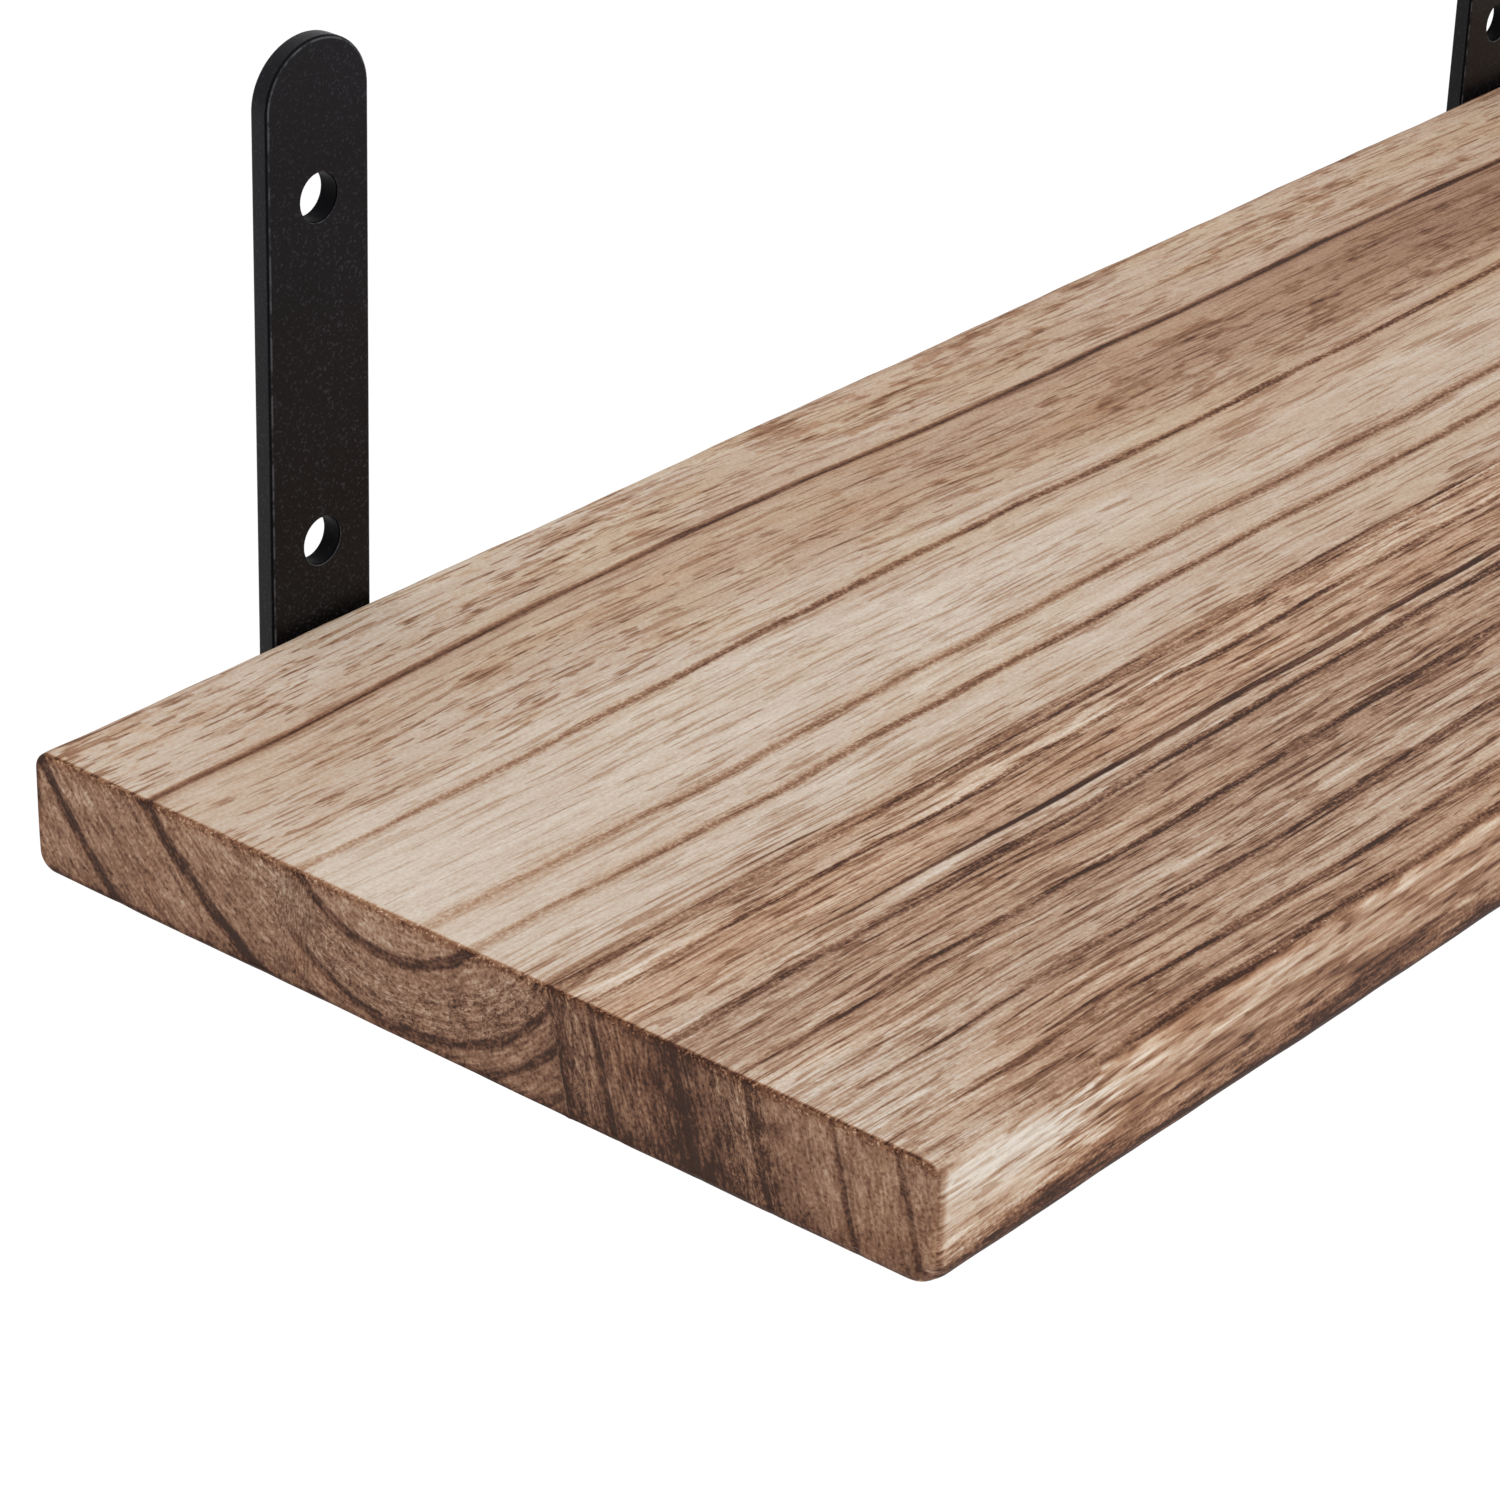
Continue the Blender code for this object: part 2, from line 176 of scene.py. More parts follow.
def section_curves(rear, n_long, n_side):
    """The cross-section as four curves: low and top run towards the wall, near and far run upwards."""
    arc_n = 8
    if rear:
        rb, rc = 2.3, 2.5  # eased edge at the top
        lb, lc = 2.8, 2.6  # and at the underside
        back_top, back_low = DEPTH, DEPTH - 0.25
        top_c = (back_top - rb, THICK - rc)
        low_c = (back_low - lb, lc)
        top = chain(
            straight((GLUE_TOP + SEAM, THICK), (top_c[0], THICK), n_long - arc_n),
            corner_arc(*top_c, rb, rc, 90, 45, arc_n),
        )
        low_line = [(b, lift(b)) for b, _ in straight((GLUE_LOW + SEAM, 0.0), (low_c[0], 0.0), n_long - arc_n)]
        low_line[-1] = (low_c[0], 0.0)
        low = chain(low_line, corner_arc(*low_c, lb, lc, 270, 315, arc_n))
        far = chain(
            corner_arc(*low_c, lb, lc, 315, 360, arc_n),
            straight((back_low, low_c[1]), (back_top, top_c[1]), n_side - 2 * arc_n),
            corner_arc(*top_c, rb, rc, 0, 45, arc_n),
        )
        near = np.array(straight((GLUE_LOW + SEAM, lift(GLUE_LOW + SEAM)), (GLUE_TOP + SEAM, THICK), n_side))
    else:
        rb, rc = 2.4, 1.9
        lb, lc = 3.4, 2.8
        rise = lift(lb)
        top_c, low_c = (rb, THICK - rc), (lb, rise + lc)
        top = chain(
            corner_arc(*top_c, rb, rc, 135, 90, arc_n),
            straight((top_c[0], THICK), (GLUE_TOP - SEAM, THICK), n_long - arc_n),
        )
        low_line = [(b, lift(b)) for b, _ in straight((low_c[0], 0.0), (GLUE_LOW - SEAM, 0.0), n_long - arc_n)]
        low = chain(corner_arc(*low_c, lb, lc, 225, 270, arc_n), low_line)
        near = chain(
            corner_arc(*low_c, lb, lc, 225, 180, arc_n),
            straight((0.0, low_c[1]), (0.0, top_c[1]), n_side - 2 * arc_n),
            corner_arc(*top_c, rb, rc, 180, 135, arc_n),
        )
        far = np.array(straight((GLUE_LOW - SEAM, lift(GLUE_LOW - SEAM)), (GLUE_TOP - SEAM, THICK), n_side))
    return low, top, near, far


def build_stave(name, rear):
    n_long, n_side = (172, 30) if rear else (126, 30)
    low, top, near, far = section_curves(rear, n_long, n_side)
    n_long, n_side = len(low) - 1, len(near) - 1
    assert len(top) == len(low) and len(far) == len(near), (len(top), len(low), len(near), len(far))

    # one filled section by blending the four curves
    u = np.linspace(0, 1, n_long + 1)[:, None, None]
    v = np.linspace(0, 1, n_side + 1)[None, :, None]
    grid = (
        (1 - v) * low[:, None, :] + v * top[:, None, :]
        + (1 - u) * near[None, :, :] + u * far[None, :, :]
        - ((1 - u) * (1 - v) * low[0] + u * (1 - v) * low[-1] + (1 - u) * v * top[0] + u * v * top[-1])
    )

    # the section's rim, once round: low, far, top back, near back
    rim_ij = [(i, 0) for i in range(n_long)]
    rim_ij += [(n_long, j) for j in range(n_side)]
    rim_ij += [(i, n_side) for i in range(n_long, 0, -1)]
    rim_ij += [(0, j) for j in range(n_side, 0, -1)]
    rim = np.array([grid[i, j] for i, j in rim_ij])
    ahead, behind = np.roll(rim, -1, 0), np.roll(rim, 1, 0)
    tangent = ahead - behind
    outward = np.stack([tangent[:, 1], -tangent[:, 0]], 1)
    outward /= np.linalg.norm(outward, axis=1)[:, None]
    glue = np.array([(i == 0) if rear else (i == n_long) for i, j in rim_ij])
    for k, (i, j) in enumerate(rim_ij):  # the glue face keeps square corners, so its rim points only move along it
        if glue[k]:
            side = -1.0 if rear else 1.0
            outward[k] = (0.0, 1.0) if j == n_side else (0.0, -1.0) if j == 0 else (0.0, 0.0)

    # stations along the shelf, crowded at the ends, where the edges are rounded over
    near_end = [0.0, 0.03, 0.10, 0.20, 0.34, 0.50, 0.70, 0.95, 1.25, 1.6, 2.0, 2.5, 3.1, 4.0, 5.2, 7.0]
    left = near_end + list(np.arange(9.6, LENGTH / 2, 3.3))
    a = np.array(left + [LENGTH - d for d in reversed(left)])
    count, m = len(a), len(rim)
    # how far each part of the rim is rounded: little at the top, more at the front corner and below
    round_r = np.empty(m)
    for k, (b, c) in enumerate(rim):
        to_front, to_back = math.exp(-((b / 2.2) ** 2)), math.exp(-(((DEPTH - b) / 2.2) ** 2))
        low_part = 1 - float(smoothstep(np.float64(c), 1.5, 5.0))
        high_part = float(smoothstep(np.float64(c), THICK - 3.0, THICK - 0.3))
        round_r[k] = 0.50 + low_part * (0.10 + 1.05 * max(0.0, 1 - b / 135.0)) + to_front * (0.75 + 1.3 * low_part + 0.2 * high_part) - to_back * 0.12 * (1 - high_part)
    to_end = np.minimum(a, LENGTH - a)[:, None]
    inside = np.clip(1 - to_end / round_r[None, :], 0.0, 1.0)
    inset = round_r[None, :] * (1 - np.sqrt(np.clip(1 - inside**2, 0.0, 1.0)))

    A = np.repeat(a[:, None], m, 1)
    # a worn edge isn't even: its rounding grows and shrinks along the shelf
    corner = np.zeros(m)
    for k, (b, c) in enumerate(rim):
        db = min(abs(b - 0.0), abs(b - DEPTH)) if (rear and b > 120) or (not rear and b < 30) else 99.0
        dc = min(c, THICK - c)
        corner[k] = math.exp(-((db / 2.6) ** 2)) * math.exp(-((dc / 2.4) ** 2))
    B0, C0 = rim[None, :, 0] + 0 * A, rim[None, :, 1] + 0 * A
    wear = (0.5 + 0.5 * ripple(A * 1.4, B0 * 0.6 + C0 * 2, 1.0 if rear else 2.3)) * 0.30 * corner[None, :]
    # shallow grooves where the soft brown lines were brushed out, and faint planing unevenness
    face = np.abs(outward[:, 1])[None, :]
    lines = np.where(C0 > THICK / 2, line_groove(A, B0, rear), ring_groove(A, B0, C0, rear))
    depth = 0.10 * lines * face + 0.035 * (0.5 + 0.5 * ripple(A, B0 * 3, 3.7)) * face
    end_wear = 0.10 * (0.5 + 0.5 * ripple(B0 * 2.0, C0 * 3, 5.1))[:, :] * np.exp(-((np.minimum(A, LENGTH - A) / 1.2) ** 2))
    free = np.where(glue, 0.0, 1.0)[None, :]
    push = (inset + wear + depth + end_wear) * free
    corner_rows = glue & np.array([j in (0, n_side) for i, j in rim_ij])
    push = push + (inset + depth) * corner_rows[None, :]
    B = B0 - outward[None, :, 0] * push
    C = C0 - outward[None, :, 1] * push
    skin = np.stack([A, B, C], 2)

    # the two end faces: the section pulled in to meet the last ring of the skin, with a little unevenness
    def end_face(which):
        ring = skin[0] if which == 0 else skin[-1]
        lookup = {ij: ring[k] for k, ij in enumerate(rim_ij)}
        lo_c = np.array([lookup[(i, 0)] for i in range(n_long + 1)])
        hi_c = np.array([lookup[(i, n_side)] for i in range(n_long + 1)])
        ne_c = np.array([lookup[(0, j)] for j in range(n_side + 1)])
        fa_c = np.array([lookup[(n_long, j)] for j in range(n_side + 1)])
        g = (
            (1 - v) * lo_c[:, None, :] + v * hi_c[:, None, :]
            + (1 - u) * ne_c[None, :, :] + u * fa_c[None, :, :]
            - ((1 - u) * (1 - v) * lo_c[0] + u * (1 - v) * lo_c[-1] + (1 - u) * v * hi_c[0] + u * v * hi_c[-1])
        )
        bb, cc = g[:, :, 1], g[:, :, 2]
        into = 0.10 * ring_groove(np.full_like(bb, a[0] if which == 0 else a[-1]), bb, cc, rear)
        into = into + 0.05 * (0.5 + 0.5 * ripple(bb * 2.2, cc * 2.2, 7.3 + which))
        edge = np.ones_like(into)
        edge[0, :] = edge[-1, :] = edge[:, 0] = edge[:, -1] = 0.0
        edge[1, :] *= 0.5; edge[-2, :] *= 0.5; edge[:, 1] *= 0.5; edge[:, -2] *= 0.5
        g[:, :, 0] += (1 if which == 0 else -1) * into * edge
        return g

    verts, faces, uvs = [], [], []
    verts.extend(skin.reshape(-1, 3))

    # the bake map: long strips stacked, end faces side by side below them
    strip_len = {
        "low": float(np.linalg.norm(np.diff(low, axis=0), axis=1).sum()),
        "far": float(np.linalg.norm(np.diff(far, axis=0), axis=1).sum()),
        "top": float(np.linalg.norm(np.diff(top, axis=0), axis=1).sum()),
        "near": float(np.linalg.norm(np.diff(near, axis=0), axis=1).sum()),
    }
    gap = 0.006
    total = sum(strip_len.values()) + THICK
    scale_v = (1.0 - 6 * gap) / total
    base, at = {}, gap
    for key in ("low", "far", "top", "near", "ends"):
        base[key] = at
        at += (THICK if key == "ends" else strip_len[key]) * scale_v + gap
    strip_of = ["low"] * n_long + ["far"] * n_side + ["top"] * n_long + ["near"] * n_side
    step = np.linalg.norm(ahead - rim, axis=1)
    start_v, run = [], 0.0
    for k in range(m):
        if k in (0, n_long, n_long + n_side, 2 * n_long + n_side):
            run = 0.0
        start_v.append(run)
        run += step[k]
    ua = gap + (1 - 2 * gap) * a / LENGTH
    for s in range(count - 1):
        for k in range(m):
            k2 = (k + 1) % m
            faces.append((s * m + k, (s + 1) * m + k, (s + 1) * m + k2, s * m + k2))
            v0 = base[strip_of[k]] + start_v[k] * scale_v
            v1 = v0 + step[k] * scale_v
            uvs.append(((ua[s], v0), (ua[s + 1], v0), (ua[s + 1], v1), (ua[s], v1)))
    for which in (0, 1):
        g = end_face(which)
        ids = -np.ones((n_long + 1, n_side + 1), int)
        row = 0 if which == 0 else count - 1
        for k, (i, j) in enumerate(rim_ij):
            ids[i, j] = row * m + k
        for i in range(1, n_long):
            for j in range(1, n_side):
                ids[i, j] = len(verts)
                verts.append(g[i, j])
        u0 = gap if which == 0 else 0.5 + gap
        span = 0.5 - 2 * gap

        def place(i, j):
            return (u0 + span * i / n_long, base["ends"] + THICK * scale_v * j / n_side)

        for i in range(n_long):
            for j in range(n_side):
                quad = [(i, j), (i, j + 1), (i + 1, j + 1), (i + 1, j)]
                if which == 1:
                    quad.reverse()
                faces.append(tuple(int(ids[q]) for q in quad))
                uvs.append(tuple(place(*q) for q in quad))

    pts = np.array(verts) * MM + np.array(ORIGIN)
    # single precision mustn't carry the board past the frame's own box
    lo = np.array(_rear_lo if rear else _front_lo); hi = np.array(_rear_hi if rear else _front_hi)
    lo[1] = min(lo[1], _front_lo.y); hi[1] = max(hi[1], _rear_hi.y)
    pts = np.clip(pts, lo, hi)
    mesh = bpy.data.meshes.new(name)
    mesh.from_pydata(pts.tolist(), [], faces)
    layer = mesh.uv_layers.new(name="OFBake")
    flat = np.array([c for face in uvs for c in face], float).ravel()
    layer.data.foreach_set("uv", flat)
    mesh.update()
    bm = bmesh.new()
    bm.from_mesh(mesh)
    bmesh.ops.recalc_face_normals(bm, faces=bm.faces)
    bm.to_mesh(mesh)
    bm.free()
    mesh.shade_smooth()
    mesh.set_sharp_from_angle(angle=math.radians(50))
    obj = bpy.data.objects.new(name, mesh)
    bpy.context.scene.collection.objects.link(obj)
    return obj


# ================================================================ brackets
STRAP_W, STRAP_T = 19.0, 3.2


def strap_outline(total, half, rise, steps):
    """The flat blank seen from its front: straight sides, rounded ends. Points with outward directions."""
    pts = []
    for sign, base in ((1, total - rise), (-1, rise)):
        for i in range(steps + 1):
            t = math.pi * i / steps
            normal = Vector((sign * math.cos(t) / half, sign * math.sin(t) / rise)).normalized()
            pts.append(((sign * half * math.cos(t), base + sign * rise * math.sin(t)), normal))
    return pts


def hole_cutter(tag, radius, x, s):
    """A pin with a flare at both faces of the flat blank, so the rim of the hole comes out softened."""
    rim, n = 0.25, 64
    prof = [(0.0, 3.0), (radius + rim, 3.0), (radius + rim, 0.02)]
    for i in range(1, 7):
        t = math.radians(90 * i / 6)
        prof.append((radius + rim - rim * math.sin(t), -rim + rim * math.cos(t)))
    prof += [(r, -STRAP_T - z) for r, z in reversed(prof)]
    bm = bmesh.new()
    rings = []
    for r, z in prof:
        if r == 0.0:
            rings.append([bm.verts.new((x, s, z))])
        else:
            rings.append([bm.verts.new((x + r * math.cos(2 * math.pi * k / n), s + r * math.sin(2 * math.pi * k / n), z)) for k in range(n)])
    for r0, r1 in zip(rings, rings[1:]):
        for k in range(n):
            k2 = (k + 1) % n
            if len(r0) == 1:
                bm.faces.new((r0[0], r1[k], r1[k2]))
            elif len(r1) == 1:
                bm.faces.new((r0[k], r1[0], r0[k2]))
            else:
                bm.faces.new((r0[k], r1[k], r1[k2], r0[k2]))
    bmesh.ops.recalc_face_normals(bm, faces=bm.faces)
    mesh = bpy.data.meshes.new(tag)
    bm.to_mesh(mesh)
    bm.free()
    cutter = bpy.data.objects.new(tag, mesh)
    bpy.context.scene.collection.objects.link(cutter)
    return cutter


def build_bracket(name, node, mat):
    """The bent flat bar again, finer than the frame's: rounded edges and softened hole rims."""
    lo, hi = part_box(node)
    cx = (lo.x + hi.x) / 2 * 1000
    reach, top, under = -lo.y * 1000, hi.z * 1000 - 0.42, lo.z * 1000
    bend_r, bend_n, soft = 2.5, 20, 0.6
    arm_top = under + STRAP_T
    flat = reach - STRAP_T - bend_r
    bend = bend_r * math.pi / 2
    total = flat + bend + (top - arm_top - bend_r)
    outline = strap_outline(total, STRAP_W / 2, 8.6, 44)
    layers = [(soft * (1 - math.cos(t)), soft * (1 - math.sin(t))) for t in (math.radians(90 * i / 6) for i in range(7))]
    layers += [(STRAP_T - depth, inset) for depth, inset in reversed(layers)]
    bm = bmesh.new()
    rings = []
    for depth, inset in layers:
        rings.append([bm.verts.new((x - n.x * inset, s - n.y * inset, -depth)) for (x, s), n in outline])
    count = len(outline)
    for r0, r1 in zip(rings, rings[1:]):
        for k in range(count):
            k2 = (k + 1) % count
            bm.faces.new((r0[k], r1[k], r1[k2], r0[k2]))
    bm.faces.new(rings[0])
    bm.faces.new(rings[-1][::-1])
    bmesh.ops.recalc_face_normals(bm, faces=bm.faces)
    mesh = bpy.data.meshes.new(name)
    bm.to_mesh(mesh)
    bm.free()
    obj = bpy.data.objects.new(name, mesh)
    bpy.context.scene.collection.objects.link(obj)
    cutters = []
    for z in (78.7, 28.8):
        cutters.append(hole_cutter(name + f"_wall_{int(z)}", 3.42, 0.0, flat + bend + z - arm_top - bend_r))
    for y in (35.0, 110.0):
        cutters.append(hole_cutter(name + f"_arm_{int(y)}", 2.45, 0.0, reach - y))
    for cutter in cutters:
        mod = obj.modifiers.new(cutter.name, "BOOLEAN")
        mod.operation, mod.solver, mod.object = "DIFFERENCE", "EXACT", cutter
    bpy.context.view_layer.update()
    drilled = bpy.data.meshes.new_from_object(obj.evaluated_get(bpy.context.evaluated_depsgraph_get()))
    obj.modifiers.clear()
    for cutter in cutters:
        bpy.data.objects.remove(cutter, do_unlink=True)
    bm = bmesh.new()
    bm.from_mesh(drilled)
    for i in range(bend_n + 1):
        bmesh.ops.bisect_plane(bm, geom=bm.verts[:] + bm.edges[:] + bm.faces[:], plane_co=(0, flat + bend * i / bend_n, 0), plane_no=(0, 1, 0), dist=1e-5)
    for vert in bm.verts:
        x, s, depth = vert.co.x, vert.co.y, -vert.co.z
        if s <= flat:
            y, z = -reach + s, arm_top - depth
        elif s <= flat + bend:
            t = (s - flat) / bend_r
            y = -STRAP_T - bend_r + (bend_r + depth) * math.sin(t)
            z = arm_top + bend_r - (bend_r + depth) * math.cos(t)
        else:
            y, z = -STRAP_T + depth, arm_top + bend_r + (s - flat - bend)
        vert.co = Vector((cx + x, y, z)) * MM
    bmesh.ops.recalc_face_normals(bm, faces=bm.faces)
    bm.to_mesh(drilled)
    bm.free()
    obj.data = drilled
    drilled.shade_smooth()
    weighted = obj.modifiers.new("even_shading", "WEIGHTED_NORMAL")
    weighted.mode = "FACE_AREA"
    weighted.weight = 80
    bpy.context.view_layer.update()
    done = bpy.data.meshes.new_from_object(obj.evaluated_get(bpy.context.evaluated_depsgraph_get()))
    obj.modifiers.clear()
    obj.data = done
    done.materials.clear()
    done.materials.append(mat)
    return obj


# ================================================================ board screws
def build_screw(name, node, turn_deg, mat):
    """Pan head wood screw, crown down: turned body, helical thread, cross recess."""
    lo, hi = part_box(node)
    cx, cy = (lo.x + hi.x) / 2 * 1000, (lo.y + hi.y) / 2 * 1000
    crown_z, tip_z = lo.z * 1000, hi.z * 1000
    head_h = 2.6
    seat = crown_z + head_h
    length = tip_z - seat
    head_r, shank_r, core_r = 4.08, 2.1, 1.45
    steps = 56
    prof = []
    for i in range(15):
        t = math.radians(90 * i / 14)
        prof.append((head_r * math.sin(t) ** 0.94, -head_h * (0.32 + 0.68 * math.cos(t))))
    prof[0] = (0.0, -head_h)
    prof += [(head_r, -0.10), (head_r - 0.10, 0.0), (shank_r + 0.25, 0.0), (shank_r, 0.25)]
    prof += [(shank_r, 4.2), (core_r + 0.1, 4.8), (core_r, 5.0), (core_r, length - 3.2)]
    prof += [(core_r * 0.86, length - 2.4), (core_r * 0.55, length - 1.2), (core_r * 0.2, length - 0.3), (0.0, length)]
    bm = bmesh.new()
    rings = []
    for r, z in prof:
        if r == 0.0:
            rings.append([bm.verts.new((0, 0, z))])
        else:
            rings.append([bm.verts.new((r * math.cos(2 * math.pi * k / steps), r * math.sin(2 * math.pi * k / steps), z)) for k in range(steps)])
    for r0, r1 in zip(rings, rings[1:]):
        for k in range(steps):
            k2 = (k + 1) % steps
            if len(r0) == 1:
                bm.faces.new((r0[0], r1[k2], r1[k]))
            elif len(r1) == 1:
                bm.faces.new((r0[k], r0[k2], r1[0]))
            else:
                bm.faces.new((r0[k], r0[k2], r1[k2], r1[k]))
    bmesh.ops.recalc_face_normals(bm, faces=bm.faces)
    mesh = bpy.data.meshes.new(name)
    bm.to_mesh(mesh)
    bm.free()
    mesh.shade_smooth()
    obj = bpy.data.objects.new(name, mesh)
    bpy.context.scene.collection.objects.link(obj)

    # thread ridge: a thin triangular blade wound right-handed towards the point
    per, pitch = 30, 2.5
    z0, z1 = 5.1, length - 1.4
    n = int((z1 - z0) / pitch * per)
    bm = bmesh.new()
    prev = first = None
    for i in range(n + 1):
        t = i / n
        ang = 2 * math.pi * i / per
        z = z0 + (z1 - z0) * t
        core = core_r if z < length - 3.2 else core_r * max(0.30, 1 - 0.62 * (z - (length - 3.2)) / 3.2)
        fade = min(1.0, t / 0.08, (1 - t) / 0.2)
        crest = core - 0.05 + (2.08 - core_r) * max(0.06, fade)
        root = core - 0.25
        cz, sz = math.cos(ang), math.sin(ang)
        ring = [
            bm.verts.new((root * cz, root * sz, z - 0.48)),
            bm.verts.new((crest * cz, crest * sz, z - 0.07)),
            bm.verts.new((crest * cz, crest * sz, z + 0.07)),
            bm.verts.new((root * cz, root * sz, z + 0.48)),
        ]
        if prev:
            for k in range(4):
                bm.faces.new((prev[k], prev[(k + 1) % 4], ring[(k + 1) % 4], ring[k]))
        else:
            first = ring
        prev = ring
    bm.faces.new(first[::-1])
    bm.faces.new(prev)
    bmesh.ops.recalc_face_normals(bm, faces=bm.faces)
    me = bpy.data.meshes.new(name + "_thread")
    bm.to_mesh(me)
    bm.free()
    me.shade_smooth()
    thread = bpy.data.objects.new(name + "_thread", me)
    bpy.context.scene.collection.objects.link(thread)
    cut_objects = [thread]
    mod = obj.modifiers.new("thread", "BOOLEAN")
    mod.operation, mod.solver, mod.object = "UNION", "EXACT", thread

    for turned in (0, 1):
        bm = bmesh.new()
        bmesh.ops.create_cube(bm, size=1.0)
        for vert in bm.verts:
            deep = vert.co.z > 0  # the recess goes up into the head
            vert.co.x *= 4.5 * (0.5 if deep else 1.0)
            vert.co.y *= 0.95 * (0.72 if deep else 1.0)
            vert.co.z = (-head_h + 1.75) if deep else (-head_h - 0.6)
        bmesh.ops.bevel(bm, geom=bm.edges[:], offset=0.12, segments=2, affect="EDGES", profile=0.5)
        me = bpy.data.meshes.new(name + f"_wing{turned}")
        bm.to_mesh(me)
        bm.free()
        wing = bpy.data.objects.new(name + f"_wing{turned}", me)
        bpy.context.scene.collection.objects.link(wing)
        wing.rotation_euler.z = math.pi / 2 * turned
        mod = obj.modifiers.new(f"recess{turned}", "BOOLEAN")
        mod.operation, mod.solver, mod.object = "DIFFERENCE", "EXACT", wing
        cut_objects.append(wing)
    bpy.context.view_layer.update()
    done = bpy.data.meshes.new_from_object(obj.evaluated_get(bpy.context.evaluated_depsgraph_get()))
    obj.modifiers.clear()
    obj.data = done
    done.transform(
        Matrix.Translation(Vector((cx, cy, seat)) * MM) @ Matrix.Rotation(math.radians(turn_deg), 4, "Z") @ Matrix.Scale(MM, 4)
    )
    done.shade_smooth()
    done.set_sharp_from_angle(angle=math.radians(32))
    done.materials.clear()
    done.materials.append(mat)
    for o in cut_objects:
        bpy.data.objects.remove(o, do_unlink=True)
    return obj


# ================================================================ materials
def srgb(r, g, b):
    """A colour given as everyday 0-255 values, as linear light."""
    out = []
    for v in (r, g, b):
        v /= 255.0
        out.append(v / 12.92 if v <= 0.04045 else ((v + 0.055) / 1.055) ** 2.4)
    return (*out, 1.0)


class Tree:
    """Short hands for building a material out of nodes. Plain numbers are set straight on the sockets."""

    def __init__(self, mat):
        mat.use_nodes = True
        self.t = mat.node_tree
        self.t.nodes.clear()
        self.out = self.t.nodes.new("ShaderNodeOutputMaterial")
        self.shader = self.t.nodes.new("ShaderNodeBsdfPrincipled")
        self.t.links.new(self.shader.outputs[0], self.out.inputs["Surface"])

    def link(self, value, socket):
        if isinstance(value, (int, float)):
            socket.default_value = float(value)
        elif isinstance(value, (tuple, list)):
            socket.default_value = value
        else:
            self.t.links.new(value, socket)

    def m(self, op, a, b=None, c=None, clamp=False):
        n = self.t.nodes.new("ShaderNodeMath")
        n.operation = op
        n.use_clamp = clamp
        for i, v in enumerate((a, b, c)):
            if v is not None:
                self.link(v, n.inputs[i])
        return n.outputs[0]

    def add(self, *terms):
        out = terms[0]
        for t in terms[1:]:
            out = self.m("ADD", out, t)
        return out

    def sub(self, a, b):
        return self.m("SUBTRACT", a, b)

    def mul(self, *terms):
        out = terms[0]
        for t in terms[1:]:
            out = self.m("MULTIPLY", out, t)
        return out

    def mad(self, a, b, c):
        return self.m("MULTIPLY_ADD", a, b, c)

    def maximum(self, a, b):
        return self.m("MAXIMUM", a, b)

    def clamp01(self, a):
        return self.m("ADD", a, 0.0, clamp=True)

    def smooth(self, v, lo, hi, to_lo=0.0, to_hi=1.0, kind="SMOOTHSTEP"):
        n = self.t.nodes.new("ShaderNodeMapRange")
        n.interpolation_type = kind
        n.clamp = True
        self.link(v, n.inputs["Value"])
        for key, val in (("From Min", lo), ("From Max", hi), ("To Min", to_lo), ("To Max", to_hi)):
            n.inputs[key].default_value = float(val)
        return n.outputs["Result"]

    def linear(self, v, lo, hi, to_lo=0.0, to_hi=1.0):
        return self.smooth(v, lo, hi, to_lo, to_hi, "LINEAR")

    def xyz(self, x, y, z):
        n = self.t.nodes.new("ShaderNodeCombineXYZ")
        for i, v in enumerate((x, y, z)):
            self.link(v, n.inputs[i])
        return n.outputs[0]

    def split(self, v):
        n = self.t.nodes.new("ShaderNodeSeparateXYZ")
        self.link(v, n.inputs[0])
        return n.outputs[0], n.outputs[1], n.outputs[2]

    def noise(self, vec, detail=2.0, rough=0.5, scale=1.0, distortion=0.0):
        n = self.t.nodes.new("ShaderNodeTexNoise")
        n.noise_dimensions = "3D"
        self.link(vec, n.inputs["Vector"])
        n.inputs["Scale"].default_value = scale
        n.inputs["Detail"].default_value = detail
        n.inputs["Roughness"].default_value = rough
        n.inputs["Distortion"].default_value = distortion
        return n.outputs["Fac"]

    def ramp(self, fac, stops, mode="LINEAR"):
        n = self.t.nodes.new("ShaderNodeValToRGB")
        n.color_ramp.interpolation = mode
        els = n.color_ramp.elements
        while len(els) < len(stops):
            els.new(0.5)
        for el, (pos, val) in zip(els, stops):
            el.position = min(1.0, max(0.0, pos))
        for el, (pos, val) in zip(els, stops):
            el.color = val if isinstance(val, tuple) else (val, val, val, 1.0)
        self.link(fac, n.inputs[0])
        return n.outputs[0]

    def mix(self, fac, a, b, mode="MIX"):
        n = self.t.nodes.new("ShaderNodeMix")
        n.data_type = "RGBA"
        n.blend_type = mode
        self.link(fac, n.inputs[0])
        self.link(a, n.inputs[6])
        self.link(b, n.inputs[7])
        return n.outputs[2]

    def bump(self, height, strength, distance, normal=None):
        n = self.t.nodes.new("ShaderNodeBump")
        n.inputs["Strength"].default_value = strength
        n.inputs["Distance"].default_value = distance
        self.link(height, n.inputs["Height"])
        if normal is not None:
            self.link(normal, n.inputs["Normal"])
        return n.outputs[0]


